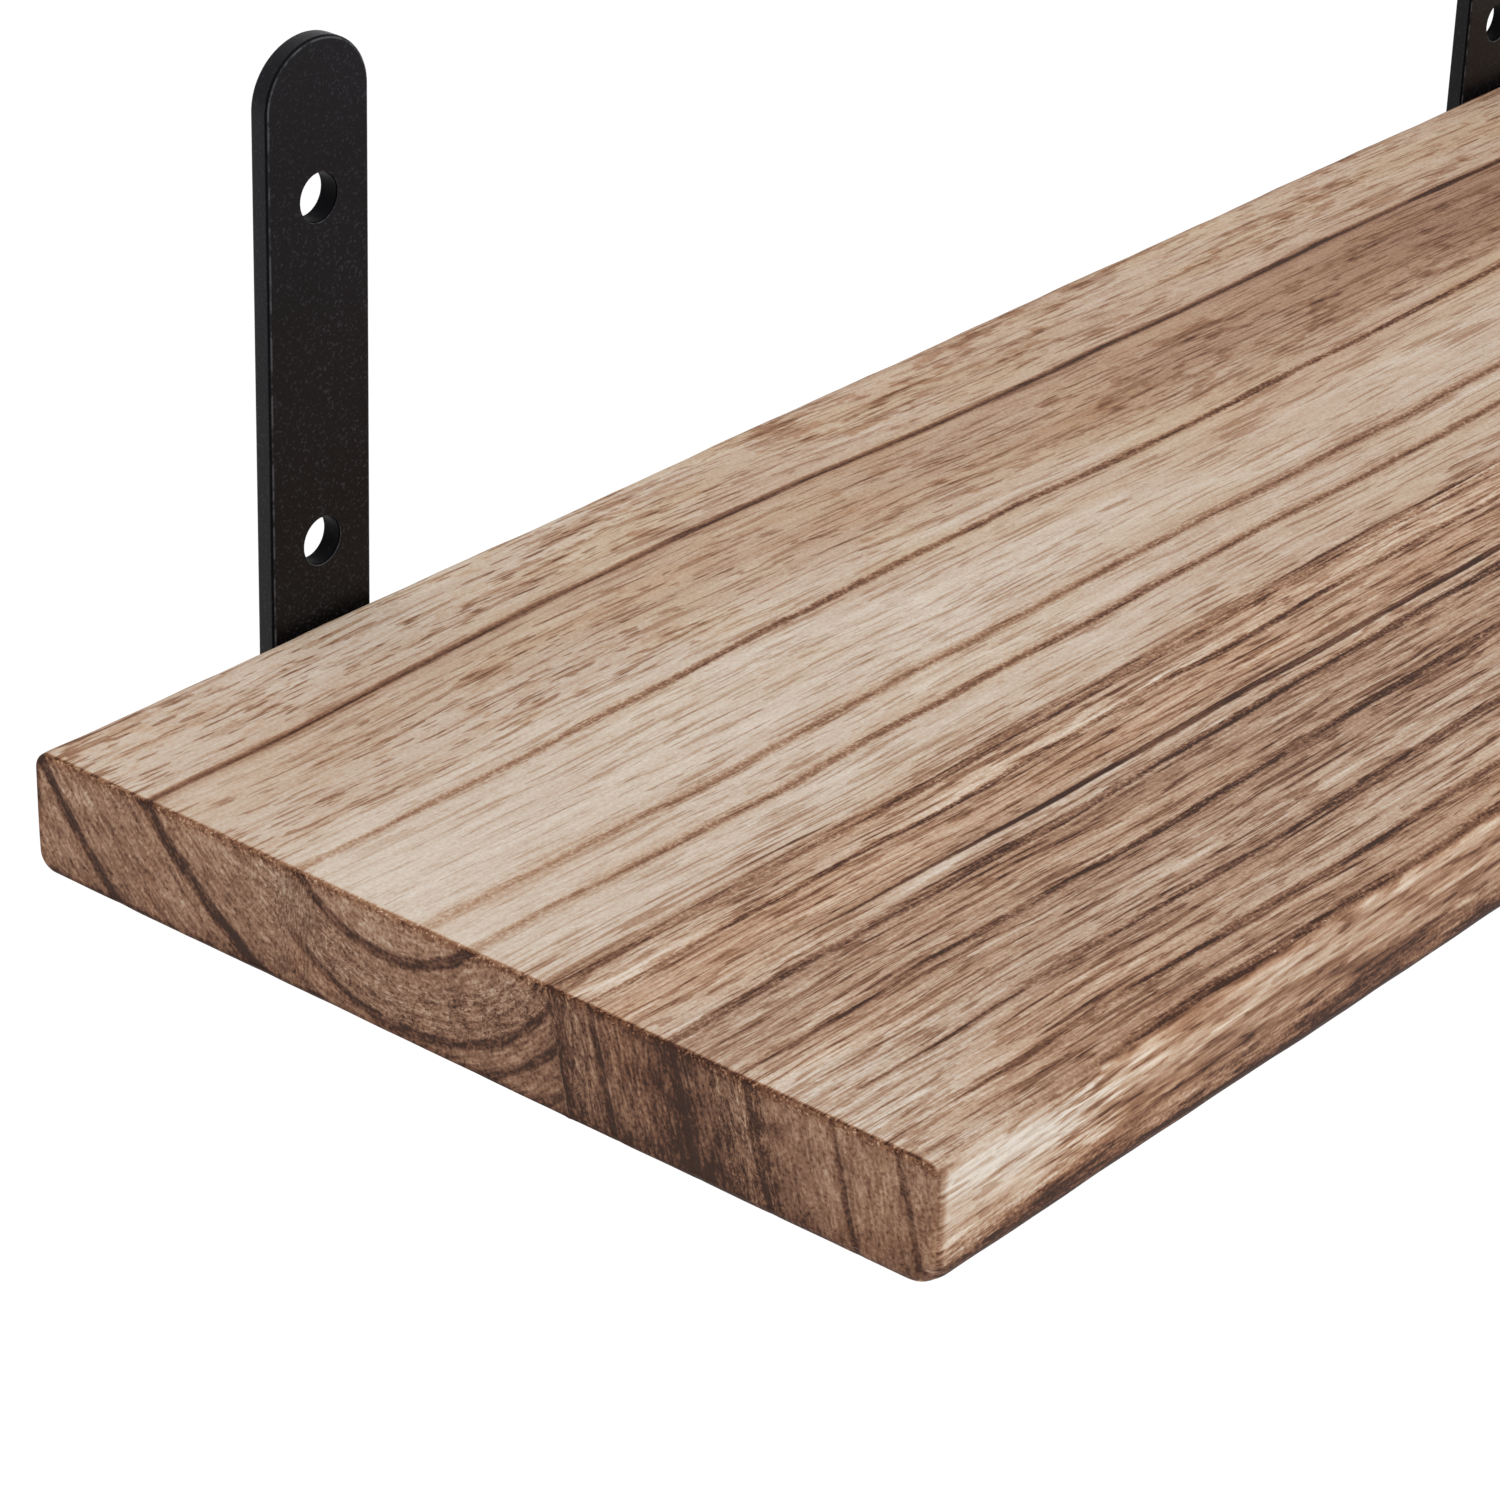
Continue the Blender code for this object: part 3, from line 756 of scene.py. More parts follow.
def ring_ramp(k, r, rings, span):
    """Growth lines over the ring coordinate: dark lines, plus a soft shade on either side of each."""
    fac = k.mul(r, 1.0 / span)
    lines, shades = [(0.0, 0.0)], [(0.0, 0.0)]
    for at, half, strength, before, after in rings:
        lines += [(at - half * 1.35, 0.0), (at - half * 0.6, strength), (at + half * 0.45, strength * 0.95), (at + half * 1.25, 0.0)]
        if before > 0 or after > 0:
            shades += [(at - half * 5.5, 0.0), (at - half, before), (at + half, after), (at + half * 5.5, 0.0)]
    out = None
    for stops in (lines, shades):
        if len(stops) == 1:
            continue
        stops.append((span, 0.0))
        clean = []
        for pos, val in stops:
            if clean and pos <= clean[-1][0]:
                pos = clean[-1][0] + 0.01
            clean.append((pos, val))
        assert len(clean) <= 32, len(clean)
        ramp = k.ramp(fac, [(p / span, v) for p, v in clean], "EASE")
        out = ramp if out is None else k.add(out, ramp)
    return out


PALETTE = (
    (0.00, srgb(218, 208, 196)),
    (0.12, srgb(203, 189, 175)),
    (0.28, srgb(185, 162, 142)),
    (0.44, srgb(163, 131, 108)),
    (0.60, srgb(136, 102, 80)),
    (0.75, srgb(110, 77, 59)),
    (0.90, srgb(82, 53, 39)),
    (1.00, srgb(58, 37, 28)),
)

TONE_REAR = (
    (56, 0.30), (60.2, 0.30), (61.4, 0.20), (65, 0.20), (68, 0.19), (76, 0.17), (92, 0.17), (99, 0.20),
    (104, 0.20), (112, 0.25), (119, 0.27), (126, 0.25), (134, 0.25), (145, 0.22), (150, 0.34),
)
TONE_FRONT = (
    (0, 0.43), (3, 0.43), (6, 0.40), (10, 0.37), (16, 0.40), (21, 0.35), (27, 0.39), (31, 0.41),
    (36, 0.41), (39, 0.40), (42.5, 0.31), (46, 0.37), (51, 0.38), (55, 0.25), (57.3, 0.30), (58.6, 0.34), (60, 0.34),
)
END_REAR = (
    (56, 0.70), (61, 0.60), (66, 0.54), (74, 0.55), (80, 0.52), (94, 0.49), (103, 0.53), (112, 0.55), (122, 0.51), (134, 0.56), (144, 0.51), (150, 0.58),
)
END_FRONT = (
    (0, 0.62), (5, 0.55), (12, 0.55), (18, 0.53), (24, 0.62), (28, 0.68), (30, 0.58), (35, 0.78), (38, 0.82), (43, 0.83),
    (48, 0.72), (52, 0.70), (54, 0.65), (57, 0.66), (59, 0.82), (61, 0.80),
)


def wood_material(name, rear):
    mat = bpy.data.materials.new(name)
    k = Tree(mat)
    coord = k.t.nodes.new("ShaderNodeTexCoord")
    X, Y, Z = k.split(coord.outputs["Object"])
    a = k.mad(X, 1000.0, -ORIGIN.x * 1000)
    b = k.mad(Y, 1000.0, -ORIGIN.y * 1000)
    c = k.mad(Z, 1000.0, -ORIGIN.z * 1000)
    geo = k.t.nodes.new("ShaderNodeNewGeometry")
    NX, NY, NZ = k.split(geo.outputs["Normal"])

    # which kind of face: end grain, front or back edge, upper side
    end = k.smooth(k.m("ABSOLUTE", NX), 0.50, 0.86)
    edge = k.smooth(k.m("ABSOLUTE", NY), 0.45, 0.88)
    upper = k.smooth(c, THICK * 0.5 - 2, THICK * 0.5 + 2)

    # ---- the swing of the grain, the same as in the mesh
    shift = None
    for reach, ka, kb, phase in SWINGS:
        term = k.mul(k.m("SINE", k.add(k.mul(a, 1 / ka), k.mul(b, 1 / kb), phase)), reach)
        shift = term if shift is None else k.add(shift, term)
    if rear:
        bow = k.m("EXPONENT", k.mul(k.m("POWER", k.mul(k.sub(a, SWELL[1]), 1 / SWELL[2]), 2.0), -1.0))
        shift = k.add(shift, k.mul(bow, SWELL[0], k.smooth(b, 84.0, 129.0)))
    yb = k.sub(b, shift)

    def field(along, across, detail, rough, lean=0.0, seed=0.0, distortion=0.0, y=None):
        """Noise drawn out along the grain: a length of 1/along mm, a width of 1/across mm."""
        y = yb if y is None else y
        if lean:
            y = k.mad(a, lean, y)
        return k.noise(k.xyz(k.mad(a, along, seed), k.mul(y, across), k.mul(c, across)), detail, rough, 1.0, distortion)

    # ---- fibre at several sizes
    drift = field(1 / 85, 1 / 13, 2.0, 0.5, seed=3.0)
    patch = field(1 / 24, 1 / 7, 2.0, 0.5, seed=11.0)
    fuzz = field(1 / 1.3, 1.9, 2.0, 0.6)
    felt = k.noise(k.xyz(k.mul(a, 1.7), k.mul(b, 2.1), k.mul(c, 2.1)), 2.0, 0.65)
    hair = field(1 / 8, 2.2, 2.0, 0.6, lean=0.02)
    where_line = field(1 / 30, 1 / 6, 2.0, 0.6, seed=5.0)

    # ---- growth lines with uneven, brushed sides
    wobble = k.add(k.mad(patch, 1.5, -0.75), k.mad(fuzz, 1.5, -0.75))
    clean = k.smooth(yb, 124.0, 125.5, 1.0, 0.35) if rear else 1.0
    lines = ring_ramp(k, k.add(yb, k.mul(wobble, clean, 0.62)), REAR_LINES if rear else FRONT_LINES, 152.0 if rear else 62.0)
    lines = k.mul(lines, k.linear(where_line, 0.30, 0.70, 0.85 if rear else 0.78, 1.15 if rear else 1.20))
    mottle = k.smooth(felt, 0.30, 0.55, 0.62, 1.14)  # the brown wood is mottled, except the clean line near the wall
    if rear:
        mottle = k.mul(k.sub(mottle, 1.0), k.smooth(yb, 124.0, 125.5, 1.0, 0.25))
        mottle = k.add(mottle, 1.0)
    lines = k.mul(lines, mottle)
    if not rear:  # the front lines fade out in the last stretch before the left end
        lines = k.mul(lines, k.maximum(k.smooth(a, 3.0, 75.0, 0.25, 1.20), k.smooth(yb, 30.0, 40.0)))
    else:
        lines = k.mul(lines, k.maximum(k.smooth(a, 0.0, 90.0, 0.55, 1.05), k.smooth(yb, 122.0, 126.0)))

    # ---- rings in the end grain
    if rear:
        def radius(pith):
            return k.m("SQRT", k.add(k.m("POWER", k.sub(yb, pith[0]), 2.0), k.m("POWER", k.sub(c, pith[1]), 2.0)))

        r_u, r_in, r_out = radius(REAR_U[0]), radius(REAR_INNER[0]), radius(REAR_OUTER[0])
        small = k.mul(wobble, 0.24)
        far_side = k.smooth(yb, 98.0, 106.0)
        rings = k.add(
            ring_ramp(k, k.add(r_u, small), REAR_U[1], 40.0),
            k.mul(ring_ramp(k, k.add(r_in, small), REAR_INNER[1], 45.0), k.sub(1.0, far_side)),
            k.mul(ring_ramp(k, k.add(r_out, small), REAR_OUTER[1], 110.0), far_side),
        )
        turn = k.mul(k.m("ARCTAN2", k.sub(yb, REAR_INNER[0][0]), k.sub(REAR_INNER[0][1], c)), 28.0)
        across_ring = k.add(k.mul(r_in, k.sub(1.0, far_side)), k.mul(k.sub(r_out, 42.2), far_side))
        along_ring = k.add(k.mul(turn, k.sub(1.0, far_side)), k.mul(k.mad(b, 0.81, k.mul(c, 0.59)), far_side))
    else:
        across_ring = k.add(yb, k.mul(k.sub(THICK, c), FRONT_SLANT))
        along_ring = c
        rings = ring_ramp(k, k.add(across_ring, k.mul(wobble, 0.5)), FRONT_END, 70.0)

    # ---- darkness of the upper side
    tone = k.ramp(k.mul(yb, 1 / 152.0), [(p / 152.0, v) for p, v in (TONE_REAR if rear else TONE_FRONT)], "EASE")
    if rear:
        dashes = field(1 / 5.6, 1.75, 0.8, 0.5, lean=0.05, seed=7.0)
        longer = field(1 / 13, 1.75, 0.8, 0.5, lean=0.014, seed=61.0)
        clumps = field(1 / 24, 1 / 7.5, 2.0, 0.55, seed=21.0)
        smudge = field(1 / 6, 0.55, 2.0, 0.5, lean=0.05, seed=31.0)
        slow = field(1 / 34, 0.50, 2.0, 0.5, seed=13.0)
        # how crowded the pores are: sparse in the pale middle, crowded along the back and in the golden band
        crowd = k.add(
            k.mul(k.smooth(yb, 102.0, 108.0), k.smooth(yb, 128.0, 122.0), k.smooth(a, 10.0, 60.0, 0.72, 1.0)),
            k.smooth(yb, 129.5, 132.0),
            k.mul(k.smooth(yb, 101.5, 99.5), k.smooth(a, 22.0, 60.0, 0.16, 0.40)),
        )
        near_clump = k.mad(clumps, 0.55, -0.275)
        pores = k.mul(k.smooth(k.add(dashes, k.mul(near_clump, 0.55), k.mad(crowd, 0.07, -0.07)), 0.60, 0.655), k.mad(crowd, 0.85, 0.15))
        threads = k.mul(k.smooth(k.add(longer, k.mul(near_clump, 0.25)), 0.585, 0.63), k.smooth(a, 0.0, 50.0, 0.45, 1.0))
        smudges = k.mul(k.smooth(k.add(smudge, near_clump), 0.55, 0.70), k.mul(crowd, crowd))
        grain = k.add(
            tone,
            k.mad(drift, 0.12, -0.06),
            k.mul(k.mad(slow, 0.26, -0.13), k.smooth(a, 0.0, 60.0, 0.5, 1.0)),
            k.mul(pores, k.smooth(a, 50.0, 190.0, 0.28, 0.12)),
            k.mul(threads, k.smooth(yb, 68.0, 63.0, 0.17, 0.26)),
            k.mul(smudges, k.smooth(a, 50.0, 190.0, 0.10, 0.17)),
            k.mad(hair, 0.24, -0.12),
            k.mad(felt, 0.30, -0.15),
            k.smooth(a, 60.0, 220.0, 0.0, 0.07),
            k.mul(k.smooth(a, 60.0, 150.0, 0.0, 0.06), k.smooth(yb, 108.0, 113.0), k.smooth(yb, 129.0, 124.0)),
            k.mul(k.smooth(a, 170.0, 300.0), k.smooth(yb, 101.0, 108.0), k.smooth(yb, 131.0, 125.0), 0.15),
            k.mul(k.smooth(field(1 / 15, 1.5, 0.8, 0.5, lean=0.012, seed=97.0), 0.54, 0.59), k.smooth(yb, 70.5, 63.0), k.smooth(a, 110.0, 60.0, 0.35, 1.0), 0.24),
        )
        grain = k.sub(grain, k.mul(k.smooth(a, 26.0, 4.0), 0.035))
    else:
        broad = field(1 / 70, 0.36, 2.0, 0.55, lean=-0.01, seed=2.0)
        streak = field(1 / 34, 0.75, 2.0, 0.6, lean=0.012, seed=9.0)
        thin = field(1 / 30, 0.8, 1.0, 0.5, lean=0.015, seed=17.0)
        cuts = field(1 / 19, 1.45, 0.8, 0.5, lean=0.014, seed=71.0)
        short = field(1 / 6, 1.7, 0.8, 0.5, lean=0.03, seed=83.0)
        scratch = k.mul(k.smooth(k.m("ABSOLUTE", k.sub(thin, 0.5)), 0.018, 0.006), k.smooth(field(1 / 22, 0.8, 1.0, 0.5, seed=41.0), 0.44, 0.54))
        calm = k.smooth(a, 2.0, 34.0, 0.55, 1.0)
        grain = k.add(
            tone,
            k.mul(k.mad(broad, 0.30, -0.15), calm),
            k.mul(k.mad(streak, 0.40, -0.20), calm),
            k.mul(scratch, 0.26, calm),
            k.mul(k.smooth(cuts, 0.585, 0.635), k.mad(calm, 0.6, 0.4), 0.26),
            k.mul(k.smooth(short, 0.58, 0.63), 0.20),
            k.mul(k.smooth(cuts, 0.42, 0.38), 0.09, -1.0),
            k.mad(hair, 0.44, -0.22),
            k.mad(felt, 0.40, -0.20),
        )
        grain = k.sub(grain, k.mul(k.smooth(a, 142.0, 158.0), k.smooth(yb, 57.2, 58.4), 0.18))
        near_left = k.smooth(a, 34.0, 4.0)
        grain = k.sub(grain, k.mul(near_left, k.smooth(yb, 33.0, 24.0, 0.05, 0.17)))
    grain = k.add(grain, lines)

    # ---- the crack beside the third growth line, only in the upper side
    if not rear:
        off = k.m("ABSOLUTE", k.add(k.sub(k.mad(a, 0.0115, yb), 45.55), k.mad(patch, 0.5, -0.25), k.mad(fuzz, 0.3, -0.15)))
        width = k.smooth(a, 10.0, 120.0, 0.04, 0.54)
        crack = k.mul(k.smooth(k.sub(off, width), 0.20, -0.10), k.smooth(a, 10.0, 60.0, 0.0, 1.0), upper)
        grain = k.add(grain, k.mul(crack, 0.60))
        # pale splinters caught along the brown lines
        chip = k.mul(k.smooth(field(1 / 1.1, 2.6, 1.0, 0.5, seed=51.0), 0.66, 0.74), k.smooth(lines, 0.20, 0.34), k.smooth(patch, 0.46, 0.58))
        grain = k.sub(grain, k.mul(chip, 0.42))

    # ---- end grain: cut pores, squiggles following the rings
    pit = k.noise(k.xyz(k.mul(a, 0.4), k.mul(b, 1.75), k.mul(c, 1.75)), 2.0, 0.6)
    blotch = k.noise(k.xyz(k.mul(a, 0.1), k.mul(b, 0.34), k.mul(c, 0.34)), 3.0, 0.6)
    ray = k.noise(k.xyz(k.mul(across_ring, 1.5), k.mul(along_ring, 0.30), k.mul(a, 0.1)), 2.0, 0.6, 1.0, 0.6)
    curl = k.noise(k.xyz(k.mul(across_ring, 1.0), k.mul(along_ring, 0.36), k.mul(a, 0.1)), 2.0, 0.6, 1.0, 1.8)
    squiggle = k.smooth(k.m("ABSOLUTE", k.sub(curl, 0.5)), 0.034, 0.010)
    if rear:
        lively = k.mul(k.smooth(r_in, 21.5, 23.5), k.smooth(r_in, 31.0, 28.5), k.sub(1.0, k.smooth(yb, 100.0, 112.0)))
        lively = k.add(lively, k.mul(k.smooth(yb, 101.0, 106.0), k.smooth(yb, 117.0, 110.0), 0.5))
    else:
        lively = k.mul(k.smooth(across_ring, 25.0, 28.0), k.smooth(across_ring, 36.0, 33.0))
        lively = k.add(lively, k.mul(k.smooth(across_ring, 54.0, 57.0), 0.8))
    end_dark = k.ramp(k.mul(across_ring if not rear else yb, 1 / 152.0), [(p / 152.0, v) for p, v in (END_REAR if rear else END_FRONT)], "EASE")
    end_dark = k.add(
        end_dark,
        rings,
        k.mad(pit, 0.66, -0.33),
        k.mul(k.smooth(pit, 0.60, 0.68), 0.10),
        k.mad(blotch, 0.50, -0.25),
        k.mul(k.mad(ray, 1.00, -0.50), 0.80 if rear else k.smooth(across_ring, 22.0, 28.0, 0.60, 1.0)),
        k.mul(squiggle, lively, 0.20),
        k.mul(k.smooth(c, 5.5, 7.5), k.smooth(c, 13.5, 12.0), 0.045),
        k.mul(k.smooth(curl, 0.53, 0.60), k.smooth(curl, 0.70, 0.60), lively, -0.12),
        k.smooth(k.add(c, k.mad(blotch, 4.0, -2.0)), 8.5, 0.5, 0.0, 0.13 if rear else 0.20),
    )
    dark = k.add(k.mul(grain, k.sub(1.0, end)), k.mul(end_dark, end))

    # ---- the front edge: cream and brown broad figure, scorched along its foot
    da = k.m("MINIMUM", a, k.sub(LENGTH, a))
    ragged = k.mad(k.noise(k.xyz(k.mul(a, 0.55), k.mul(b, 0.9), k.mul(c, 0.9)), 4.0, 0.7), 2.0, -1.0)
    warm = 0.0
    if not rear:
        rise = k.mad(a, -0.02, c)
        figure = k.noise(k.xyz(k.mul(a, 1 / 26), k.mul(rise, 0.40), 4.0), 3.0, 0.6, 1.0, 0.4)
        wisp = k.noise(k.xyz(k.mul(a, 1 / 9), k.mul(rise, 1.25), 8.0), 3.0, 0.6, 1.0, 0.3)
        flick = k.noise(k.xyz(k.mul(a, 1 / 6.5), k.mul(rise, 1.15), 19.0), 0.8, 0.5)
        speck = k.noise(k.xyz(k.mul(a, 1.3), k.mul(c, 2.0), 27.0), 2.0, 0.6)
        edge_tone = k.ramp(k.mul(c, 1 / THICK), [(0.0, 0.92), (0.12, 0.86), (0.22, 0.72), (0.36, 0.60), (0.52, 0.54), (0.66, 0.46), (0.82, 0.38), (0.92, 0.40), (0.97, 0.58), (1.0, 0.50)], "EASE")
        cream = k.mul(k.smooth(k.add(a, k.mad(wisp, 60.0, -30.0)), 34.0, 22.0), k.smooth(k.add(k.mad(a, -0.14, c), k.mul(ragged, 1.4)), 1.6, 3.8))
        singe = k.mul(k.smooth(k.add(k.sub(c, k.mul(k.smooth(a, 4.0, 16.0), k.smooth(a, 44.0, 30.0), 1.3)), k.mul(ragged, 1.8)), 4.6, 2.2), k.smooth(a, 6.0, 50.0, 0.55, 1.0))
        edge_dark = k.add(
            edge_tone,
            k.mul(k.mad(figure, 1.5, -0.75), k.smooth(a, 10.0, 40.0, 0.35, 1.0)),
            k.mad(wisp, 0.85, -0.425),
            k.mul(k.smooth(flick, 0.58, 0.63), 0.20),
            k.mul(k.smooth(flick, 0.41, 0.36), -0.06),
            k.mul(k.mad(speck, 1.0, -0.5), k.smooth(c, 9.0, 4.0, 0.22, 0.9)),
            k.mul(cream, -0.32),
            k.mul(singe, 0.24),
            k.mul(k.smooth(a, 12.0, 18.0), k.smooth(a, 36.0, 28.0), k.smooth(c, 13.2, 14.6), 0.15),
            k.mul(k.smooth(a, 52.0, 64.0), k.smooth(a, 104.0, 90.0), k.mul(k.smooth(c, 9.0, 10.5), k.smooth(c, 14.2, 13.0)), -0.09),
            k.mad(hair, 0.5, -0.25),
            k.smooth(k.add(da, k.mul(ragged, 0.4)), 2.2, 0.7, 0.0, 0.34),
        )
        face_front = k.mul(edge, k.sub(1.0, end))
        dark = k.add(k.mul(dark, k.sub(1.0, face_front)), k.mul(edge_dark, face_front))
        warm = k.mul(face_front, k.mad(cream, -0.85, 1.0))

    # ---- handled, slightly scorched arrises
    from_top, from_low = k.sub(THICK, c), c
    arris = k.mul(k.smooth(k.add(from_top, k.mul(ragged, 1.0)), 1.7, 0.5), k.smooth(da, 1.0, 0.2))
    foot = k.mul(k.smooth(k.add(from_low, k.mul(ragged, 0.5)), 1.5, 0.3), k.maximum(end, edge))
    ends_top = k.mul(k.smooth(da, 0.85, 0.25), upper, k.sub(1.0, end))
    crumbs = k.noise(k.xyz(k.mul(a, 2.2), k.mul(b, 2.2), k.mul(c, 2.2)), 2.0, 0.7)
    dark = k.add(dark, k.mul(arris, 0.16), k.mul(foot, 0.32), k.mul(ends_top, 0.30 if rear else 0.40))
    if rear:
        dark = k.add(dark, k.mul(k.smooth(b, DEPTH - 1.5, DEPTH - 0.6), upper, 0.30))
    dark = k.sub(dark, k.mul(arris, k.smooth(crumbs, 0.56, 0.66), 0.40))
    dark = k.clamp01(dark)

    colour = k.ramp(dark, PALETTE, "LINEAR")
    # redder wood along the arrises and in the scorched edge; a warm drift elsewhere
    if rear:
        tint = k.add(k.mul(arris, 0.7), k.smooth(drift, 0.54, 0.72, 0.0, 0.22), k.mul(lines, 0.6), k.mul(smudges, k.sub(1.0, end), 0.3))
        olive = k.mul(k.smooth(field(1 / 40, 1 / 9, 2.0, 0.5, seed=91.0), 0.44, 0.60), k.smooth(a, 25.0, 95.0, 0.15, 0.55), k.smooth(yb, 96.0, 104.0, 0.45, 1.0), k.sub(1.0, end))
        colour = k.mix(olive, colour, k.mix(1.0, colour, (1.0, 0.975, 0.86, 1.0), "MULTIPLY"))
    else:
        golden = k.mul(k.smooth(yb, 45.0, 49.0), k.sub(1.0, end), 0.25)
        tint = k.add(k.mul(arris, 0.7), k.smooth(drift, 0.46, 0.70, 0.0, 0.40), k.mul(warm, 0.45), golden)
    colour = k.mix(k.clamp01(tint), colour, k.mix(1.0, colour, (1.06, 0.93, 0.80, 1.0), "MULTIPLY"))
    k.link(colour, k.shader.inputs["Base Color"])

    rough = k.add(0.64, k.mad(hair, 0.16, -0.08), k.mul(dark, -0.05))
    k.link(rough, k.shader.inputs["Roughness"])
    k.shader.inputs["Specular IOR Level"].default_value = 0.12

    relief = k.add(k.mul(lines, -0.9), k.mul(hair, -0.7))
    if rear:
        relief = k.add(relief, k.mul(pores, -0.5), k.mul(threads, -0.4), k.mul(felt, -0.3))
    else:
        relief = k.add(relief, k.mul(streak, -1.2), k.mul(scratch, -0.5), k.mul(crack, -1.6), k.mul(felt, -0.5))
    end_relief = k.add(k.mul(pit, 1.5), k.mul(rings, -1.5), k.mul(squiggle, lively, -0.6), k.mul(ray, -0.7))
    height = k.add(k.mul(relief, k.sub(1.0, end)), k.mul(end_relief, end))
    k.link(k.bump(height, 0.6, 0.00024), k.shader.inputs["Normal"])
    return mat


def powder_coat():
    mat = bpy.data.materials.new("black_powder_coat")
    k = Tree(mat)
    coord = k.t.nodes.new("ShaderNodeTexCoord").outputs["Object"]
    X, Y, Z = k.split(coord)
    NX, NY, NZ = k.split(k.t.nodes.new("ShaderNodeNewGeometry").outputs["Normal"])
    peel = k.noise(coord, 2.0, 0.5, scale=1300.0)
    grit = k.noise(coord, 1.0, 0.5, scale=2300.0)
    cloud = k.noise(coord, 3.0, 0.6, scale=38.0)
    # specks that break up the painted highlight along the rounded edges
    highlight_breakup = k.noise(coord, 2.0, 0.7, scale=420.0)
    # how squarely the surface faces out of the strap: 1 on its broad faces, 0 on its narrow sides and in the holes
    upright = k.smooth(Z, 0.0002, 0.0022)
    broad = k.add(k.mul(k.m("ABSOLUTE", NY), upright), k.mul(k.m("ABSOLUTE", NZ), k.sub(1.0, upright)))
    bend = k.mul(k.smooth(Y, -0.0075, -0.0045), k.smooth(Z, 0.0035, 0.0015))
    broad = k.maximum(broad, k.mul(bend, k.smooth(k.m("ABSOLUTE", NX), 0.4, 0.1)))
    # painted highlight: a lighter band on the rounding beside the broad faces, left out at the bend
    edge_highlight = k.mul(k.smooth(broad, 0.985, 0.94), k.smooth(broad, 0.72, 0.84), k.sub(1.0, bend))
    # painted shade: a dark line on the rounding between the narrow sides and the broad faces
    edge_shade_line = k.mul(k.smooth(broad, 0.76, 0.66), k.smooth(broad, 0.18, 0.32))
    # painted shade on the narrow sides of the strap
    side = k.smooth(broad, 0.30, 0.15)
    # inside the two wall holes the coating lies in shadow
    dx = k.sub(k.m("ABSOLUTE", X), 0.1475)
    bore = 0.0
    for z in (0.0787, 0.0288):
        off = k.m("SQRT", k.add(k.mul(dx, dx), k.m("POWER", k.sub(Z, z), 2.0)))
        bore = k.add(bore, k.smooth(off, 0.0041, 0.0036))
    bore = k.mul(bore, k.smooth(broad, 0.80, 0.50))
    dust = k.mul(k.smooth(grit, 0.58, 0.70), k.smooth(cloud, 0.35, 0.65, 0.5, 1.0))
    base = k.mix(k.smooth(cloud, 0.35, 0.7), srgb(11, 12, 17), srgb(16, 16, 22))
    # painted warm reflection of the board: the coat turns darker and warmer towards the bottom
    base = k.mix(k.smooth(Z, 0.075, 0.01), base, srgb(11, 9, 9))
    base = k.mix(k.mul(dust, 0.40), base, srgb(66, 66, 76))
    # painted highlight along the rounded edges, broken into specks
    base = k.mix(k.mul(edge_highlight, k.smooth(highlight_breakup, 0.40, 0.58, 0.10, 0.85)), base, srgb(74, 73, 77))
    # painted shade: the dark edge line, the narrow sides and the wall holes are pulled towards near black
    base = k.mix(k.clamp01(k.add(k.mul(edge_shade_line, 0.80), k.mul(side, 0.25), k.mul(bore, 0.60))), base, srgb(5, 5, 7))
    k.link(base, k.shader.inputs["Base Color"])
    k.link(k.add(0.38, k.mad(cloud, 0.16, -0.08), k.mad(peel, 0.14, -0.07), k.mul(edge_highlight, -0.06)), k.shader.inputs["Roughness"])
    k.link(k.clamp01(k.add(0.16, k.mul(edge_shade_line, -0.12), k.mul(bore, -0.12))), k.shader.inputs["Specular IOR Level"])
    height = k.add(k.mul(peel, 0.8), k.mul(grit, 0.6))
    k.link(k.bump(height, 0.5, 0.00008), k.shader.inputs["Normal"])
    return mat


def zinc():
    mat = bpy.data.materials.new("zinc_plated_steel")
    k = Tree(mat)
    coord = k.t.nodes.new("ShaderNodeTexCoord").outputs["Object"]
    cloud = k.noise(coord, 3.0, 0.6, scale=700.0)
    fine = k.noise(coord, 2.0, 0.6, scale=5200.0)
    k.link(k.mix(k.smooth(cloud, 0.35, 0.7), srgb(168, 168, 166), srgb(196, 194, 188)), k.shader.inputs["Base Color"])
    k.shader.inputs["Metallic"].default_value = 1.0
    k.link(k.add(0.28, k.mul(cloud, 0.22)), k.shader.inputs["Roughness"])
    k.link(k.bump(fine, 0.2, 0.00003), k.shader.inputs["Normal"])
    return mat


# ================================================================ assemble
WOOD_REAR = wood_material("brushed_wood_rear", True)
WOOD_FRONT = wood_material("brushed_wood_front", False)
COAT = powder_coat()
ZINC = zinc()

rear = build_stave("rear_stave_wood", True)
rear.data.materials.append(WOOD_REAR)
front = build_stave("front_stave_wood", False)
front.data.materials.append(WOOD_FRONT)
pieces = [(rear, "shelf_rear_stave", "wood"), (front, "shelf_front_stave", "wood")]
for side in ("left", "right"):
    pieces.append((build_bracket(f"{side}_bracket_coated", f"bracket_{side}", COAT), f"bracket_{side}", "bracket_coating"))
for n, (side, row) in enumerate((s, r) for s in ("left", "right") for r in ("rear", "front")):
    node = f"{side}_{row}_board_screw"
    pieces.append((build_screw(f"{side}_{row}_pan_screw", node, 17 + 31 * (n + 1), ZINC), node, "screw"))
for piece, node, slot in pieces:
    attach(piece, "root")
    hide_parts(node)

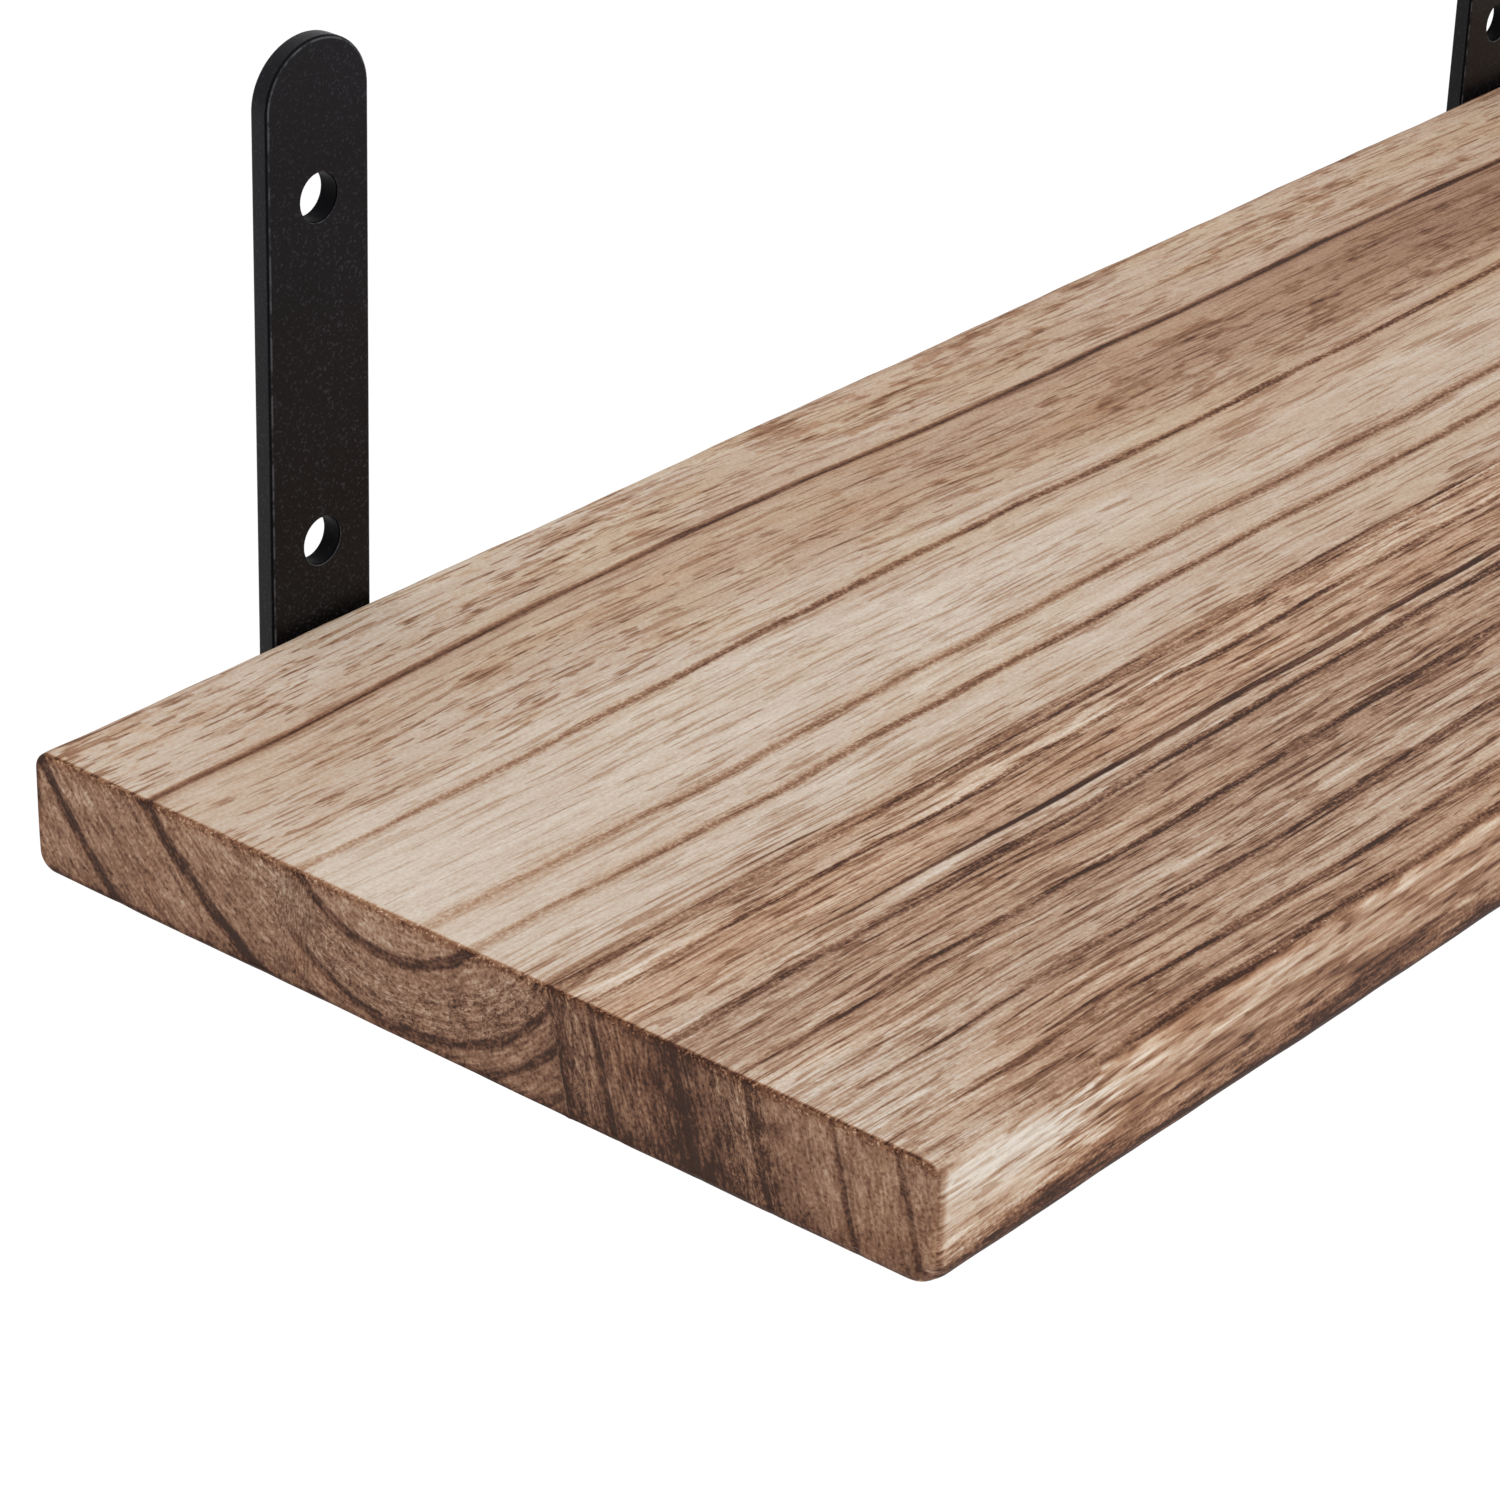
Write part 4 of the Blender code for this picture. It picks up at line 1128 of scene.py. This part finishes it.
# ================================================================ floor, light, camera
floor_mesh = bpy.data.meshes.new("floor")
bm = bmesh.new()
bmesh.ops.create_grid(bm, x_segments=1, y_segments=1, size=14.0)
bm.to_mesh(floor_mesh)
bm.free()
floor = bpy.data.objects.new("floor", floor_mesh)
bpy.context.scene.collection.objects.link(floor)
floor.location = (0, 0, -1.62)  # the shelf hangs at its usual height on the wall
floor_mat = bpy.data.materials.new("pale_floor")
fkt = Tree(floor_mat)
fkt.shader.inputs["Base Color"].default_value = (0.93, 0.93, 0.93, 1)
fkt.shader.inputs["Roughness"].default_value = 0.9
fkt.shader.inputs["Specular IOR Level"].default_value = 0.1
floor_mesh.materials.append(floor_mat)

world = bpy.data.worlds.new("soft_studio")
bpy.context.scene.world = world
world.use_nodes = True
world.node_tree.nodes["Background"].inputs[0].default_value = (1.0, 1.0, 1.0, 1)
world.node_tree.nodes["Background"].inputs[1].default_value = 0.74


def soft_sun(name, towards, strength, spread, colour=(1, 1, 1)):
    """A big, far, soft light shining along `towards`."""
    data = bpy.data.lights.new(name, "SUN")
    data.energy = strength
    data.angle = math.radians(spread)
    data.color = colour
    obj = bpy.data.objects.new(name, data)
    bpy.context.scene.collection.objects.link(obj)
    obj.rotation_euler = Vector(towards).to_track_quat("-Z", "Y").to_euler()
    return obj


soft_sun("key", (-0.10, 0.62, -1.0), 1.25, 70)
soft_sun("side", (1.0, 0.25, -0.55), 0.30, 90)

cam_data = bpy.data.cameras.new("camera")
cam_data.lens = 122.21
cam_data.sensor_width = 36.0
cam_data.clip_start = 0.01
cam_data.clip_end = 60.0
cam = bpy.data.objects.new("camera", cam_data)
bpy.context.scene.collection.objects.link(cam)
right = Vector((0.64313761, -0.76515853, 0.03010707))
up = Vector((0.3376162, 0.31862676, 0.88571569))
ahead = Vector((0.68730584, 0.55947244, -0.46325077))
pose = Matrix.Identity(4)
for i, axis in enumerate((right, up, -ahead)):
    for j in range(3):
        pose[j][i] = axis[j]
pose.translation = Vector((-0.596073, -0.444554, 0.326374))
cam.matrix_world = pose
bpy.context.scene.camera = cam
bpy.context.scene.view_settings.view_transform = "Standard"
